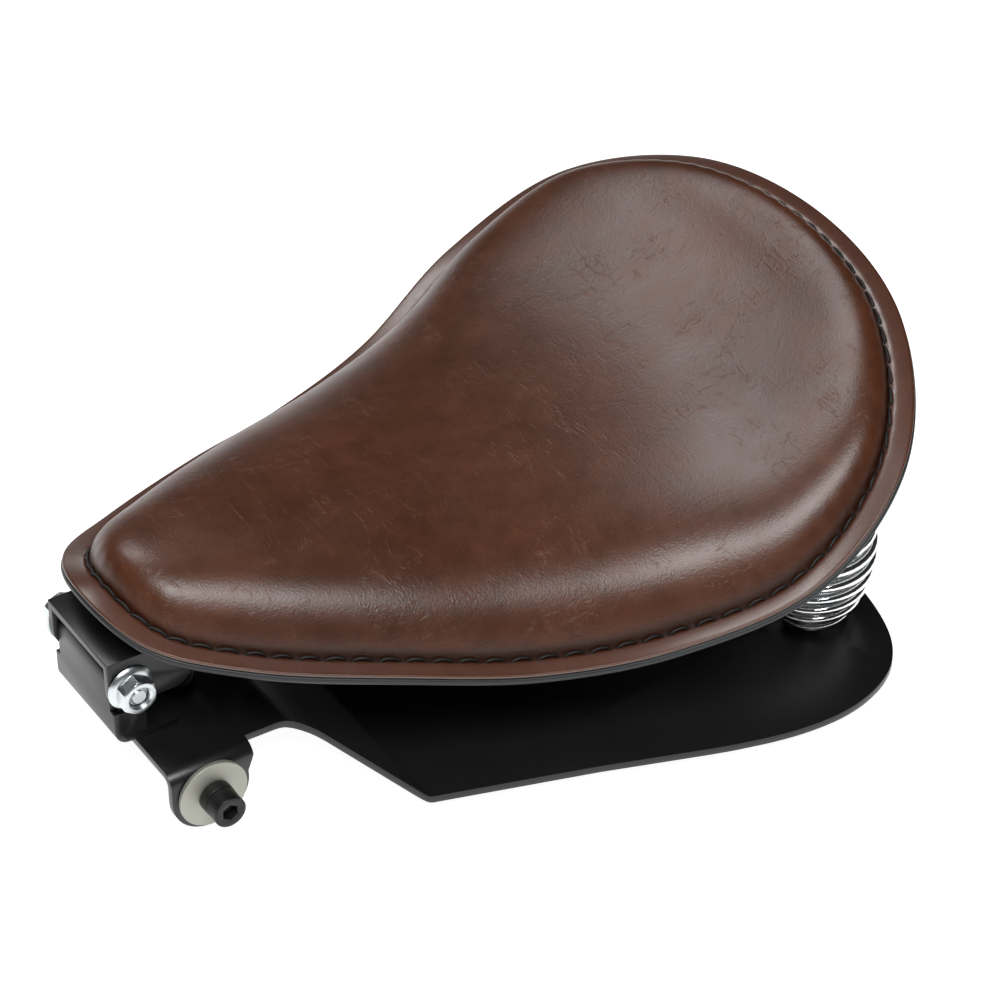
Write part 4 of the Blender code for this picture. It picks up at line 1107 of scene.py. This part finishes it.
class SOLOSEAT_OT_fasteners(bpy.types.Operator):
    """Bolts, screws, nuts, studs and washers"""
    bl_idname = "soloseat.fasteners"
    bl_label = "Build Fasteners"

    def execute(self, context):
        pitch = context.scene.seat_hardware.pitch
        zinc_thread = thread_tree("bright_zinc")
        oxide_thread = thread_tree("black_oxide")
        self.hinge(pitch, zinc_thread)
        self.ear(pitch, oxide_thread)
        self.neck(pitch, oxide_thread)
        self.pan_studs(zinc_thread)
        for name, side in SIDES:
            self.spring_ends(name, pitch, zinc_thread)
        return {"FINISHED"}

    def hinge(self, pitch, tree):
        """Flange bolt through the rolled eye, and its flange nut."""
        low, high, place = place_of("hinge_bolt", "y")
        face = low.y + HINGE_HEAD
        root = high.y - HINGE_THREAD
        head = nut_rows(0, HINGE_HEAD, M8_FLATS, 0, FLANGE_RADIUS, FLANGE_LIP)
        rows = [(face - height, radius) for height, radius in reversed(head)]
        rows += [(face, M8_SHANK), (root, M8_SHANK), (root + 0.1 * MM, M8_ROOT)]
        rows += [(high.y - 0.9 * MM, M8_ROOT), (high.y, M8_SHANK - 1.3 * MM)]
        span = (root, high.y - 0.8 * MM)
        bolt = threaded("hinge_bolt_zinc", rows, "y", place, span, pitch, tree)
        finish_piece(bolt, "seat", "bright_zinc", ("hinge_bolt",))
        nut("hinge_nut_zinc", "hinge_nut", "y", "seat", M8_FLATS, M8_NUT_BORE, FLANGE_RADIUS, FLANGE_LIP)

    def ear(self, pitch, tree):
        """Frame screw in the ear with its large washer, collar and nut."""
        washer("ear_washer_plain", "ear_washer", "y", "base", "pale_washer", EAR_WASHER_RADIUS, 0.35 * MM, 72)
        washer("ear_collar_black", "ear_collar", "y", "base", "black_oxide", EAR_COLLAR_RADIUS, 0.5 * MM)
        nut("ear_nut_zinc", "ear_nut", "y", "base")
        low, high, place = place_of("ear_screw", "y")
        head = high.y - EAR_HEAD_HEIGHT
        root = low.y + EAR_THREAD
        rows = [(low.y, 2.8 * MM), (low.y + 0.8 * MM, M8_ROOT), (root, M8_ROOT), (root, M8_SHANK)]
        rows += [(head, M8_SHANK)] + rounded_rows(head, high.y, EAR_HEAD_RADIUS, 0.45 * MM)
        rows += socket_rows(
            high.y, M8_SOCKET, EAR_SOCKET_DEPTH, (0.35 * MM, 3.9 * MM), 1.4 * MM, EAR_SOCKET_DEPTH + 0.8 * MM)
        span = (low.y + 0.8 * MM, root - 0.4 * MM)
        screw = threaded("ear_screw_black", rows, "y", place, span, pitch, tree)
        finish_piece(screw, "base", "black_oxide", ("ear_screw",))

    def neck(self, pitch, tree):
        """Button-head bolt in the neck, and its nut."""
        low, high, place = place_of("neck_bolt", "z")
        seat = high.z - BUTTON_HEIGHT
        root = low.z + NECK_THREAD
        rows = [(low.z, 2.8 * MM), (low.z + 0.8 * MM, M8_ROOT), (root, M8_ROOT)]
        rows += [(root + 0.1 * MM, M8_SHANK), (seat, M8_SHANK)]
        rows += [(seat, BUTTON_RADIUS - 0.3 * MM), (seat + 0.25 * MM, BUTTON_RADIUS)]
        dome = BUTTON_RADIUS / 2
        for turn in (0.15, 0.35, 0.55, 0.75, 1.0, 1.25, math.pi / 2):
            rise = 0.5 * MM + (BUTTON_HEIGHT - 0.5 * MM) * math.sin(turn)
            rows.append((seat + rise, dome + dome * math.cos(turn)))
        rows += socket_rows(
            high.z, M8_BUTTON_SOCKET, BUTTON_SOCKET_DEPTH, (0.2 * MM, 0), 1.2 * MM,
            BUTTON_SOCKET_DEPTH + 0.6 * MM)
        span = (low.z + 0.8 * MM, root - 0.4 * MM)
        bolt = threaded("neck_bolt_black", rows, "z", place, span, pitch, tree)
        finish_piece(bolt, "base", "black_oxide", ("neck_bolt",))
        nut("neck_nut_zinc", "neck_nut", "z", "base")

    def pan_studs(self, tree):
        """Studs that hold the pan down on its bracket."""
        for name in ("front", "rear"):
            node = "pan_stud_" + name
            low, high, place = place_of(node, "z")
            rows = [(low.z, M6_ROOT - TIP_CHAMFER), (low.z + TIP_CHAMFER, M6_ROOT), (high.z, M6_ROOT)]
            span = (low.z + TIP_CHAMFER, high.z - 0.5 * MM)
            stud = threaded(node + "_zinc", rows, "z", place, span, M6_PITCH, tree, M6_SHANK, 36)
            finish_piece(stud, "seat", "bright_zinc", (node,))
            node = "pan_stud_nut_" + name
            nut(node + "_zinc", node, "z", "seat", M6_FLATS, M6_NUT_BORE)

    def spring_ends(self, name, pitch, tree):
        """Stud, washer and nut at each end of a spring."""
        for level, body in (("lower", "base"), ("upper", "seat")):
            node = "{}_stud_{}".format(level, name)
            low, high, place = place_of(node, "z")
            span = (low.z + TIP_CHAMFER, high.z - TIP_CHAMFER)
            rows = [(low.z, M8_ROOT - TIP_CHAMFER), (span[0], M8_ROOT)]
            rows += [(span[1], M8_ROOT), (high.z, M8_ROOT - TIP_CHAMFER)]
            stud = threaded(node + "_zinc", rows, "z", place, span, pitch, tree)
            finish_piece(stud, body, "bright_zinc", (node,))
            node = "{}_washer_{}".format(level, name)
            washer(node + "_zinc", node, "z", body, "bright_zinc", SPRING_WASHER_RADIUS, 0.3 * MM)
            node = "{}_nut_{}".format(level, name)
            nut(node + "_zinc", node, "z", body)


# Where each light hangs from the seat's middle, its size and its power in watts.
LIGHTS = {
    "overhead": ((0.42, 0.78, 1.30), (0.95, 0.7), 23),
    "far_side": ((0.16, -0.88, 1.45), (0.9, 0.7), 12.5),
}


def area_light(name, place, target, size, power):
    """Soft oval light aimed at a target."""
    light = bpy.data.lights.new(name, "AREA")
    light.shape = "ELLIPSE"
    light.size, light.size_y = size
    light.energy = power
    made = link(bpy.data.objects.new(name, light))
    made.location = place
    made.rotation_mode = "QUATERNION"
    made.rotation_quaternion = (Vector(target) - Vector(place)).to_track_quat("-Z", "Y")
    return made


class SOLOSEAT_OT_stage(bpy.types.Operator):
    """Floor, soft lights and camera"""
    bl_idname = "soloseat.stage"
    bl_label = "Build Stage"

    def execute(self, context):
        scene = context.scene
        props = scene.seat_stage
        low, high = CAD_BOUNDS
        work = bmesh.new()
        bmesh.ops.create_grid(work, x_segments=4, y_segments=4, size=6.0)
        work.transform(Matrix.Translation((0, 0, low.z - 0.5 * MM)))
        floor = from_bmesh("studio_floor", work)
        floor.data.materials.append(floor_finish(scene.seat_look))
        centre = (low + high) / 2
        for name, (offset, size, power) in LIGHTS.items():
            area_light(name, centre + Vector(offset), centre, size, power)
        world = bpy.data.worlds.new("studio")
        scene.world = world
        world.use_nodes = True
        back = world.node_tree.nodes["Background"]
        back.inputs["Color"].default_value = (1.0, 1.0, 1.0, 1.0)
        back.inputs["Strength"].default_value = props.world
        self.camera(scene, props)
        scene.view_settings.view_transform = "Standard"
        return {"FINISHED"}

    def camera(self, scene, props):
        turn, rise, roll = props.azimuth, props.elevation, props.roll
        back = Vector((math.sin(turn) * math.cos(rise), -math.cos(turn) * math.cos(rise), math.sin(rise)))
        level = Vector((math.cos(turn), math.sin(turn), 0))
        upward = back.cross(level)
        right = level * math.cos(roll) + upward * math.sin(roll)
        upward = upward * math.cos(roll) - level * math.sin(roll)
        data = bpy.data.cameras.new("camera")
        data.lens = props.lens
        data.sensor_width = 36.0
        camera = link(bpy.data.objects.new("camera", data))
        place = Vector(props.target) + back * props.distance
        camera.matrix_world = Matrix((
            (right.x, upward.x, back.x, place.x),
            (right.y, upward.y, back.y, place.y),
            (right.z, upward.z, back.z, place.z),
            (0, 0, 0, 1),
        ))
        scene.camera = camera


class SOLOSEAT_PT_panel(bpy.types.Panel):
    """Sizes, colours and building steps of the seat"""
    bl_idname = "SOLOSEAT_PT_panel"
    bl_label = "Solo Seat"
    bl_space_type = "VIEW_3D"
    bl_region_type = "UI"
    bl_category = "Solo Seat"

    def draw(self, context):
        scene = context.scene
        for title, group in (
                ("Cushion", scene.seat_shape), ("Finishes", scene.seat_look),
                ("Hardware", scene.seat_hardware), ("Stage", scene.seat_stage)):
            box = self.layout.box()
            box.label(text=title)
            for name in group.__annotations__:
                box.prop(group, name)
        for step in STEPS:
            self.layout.operator(step.bl_idname)


STEPS = (
    SOLOSEAT_OT_cushion,
    SOLOSEAT_OT_plates,
    SOLOSEAT_OT_springs,
    SOLOSEAT_OT_fasteners,
    SOLOSEAT_OT_stage,
)
GROUPS = {
    "seat_shape": SeatProps,
    "seat_look": LookProps,
    "seat_hardware": HardwareProps,
    "seat_stage": StageProps,
}


def register():
    for kind in (*GROUPS.values(), *STEPS, SOLOSEAT_PT_panel):
        bpy.utils.register_class(kind)
    for name, kind in GROUPS.items():
        setattr(bpy.types.Scene, name, PointerProperty(type=kind))


def unregister():
    for name in GROUPS:
        delattr(bpy.types.Scene, name)
    for kind in (SOLOSEAT_PT_panel, *reversed(STEPS), *reversed(list(GROUPS.values()))):
        bpy.utils.unregister_class(kind)


def main():
    register()
    for name in ("cushion", "plates", "springs", "fasteners", "stage"):
        getattr(bpy.ops.soloseat, name)()


if __name__ == "__main__":
    main()
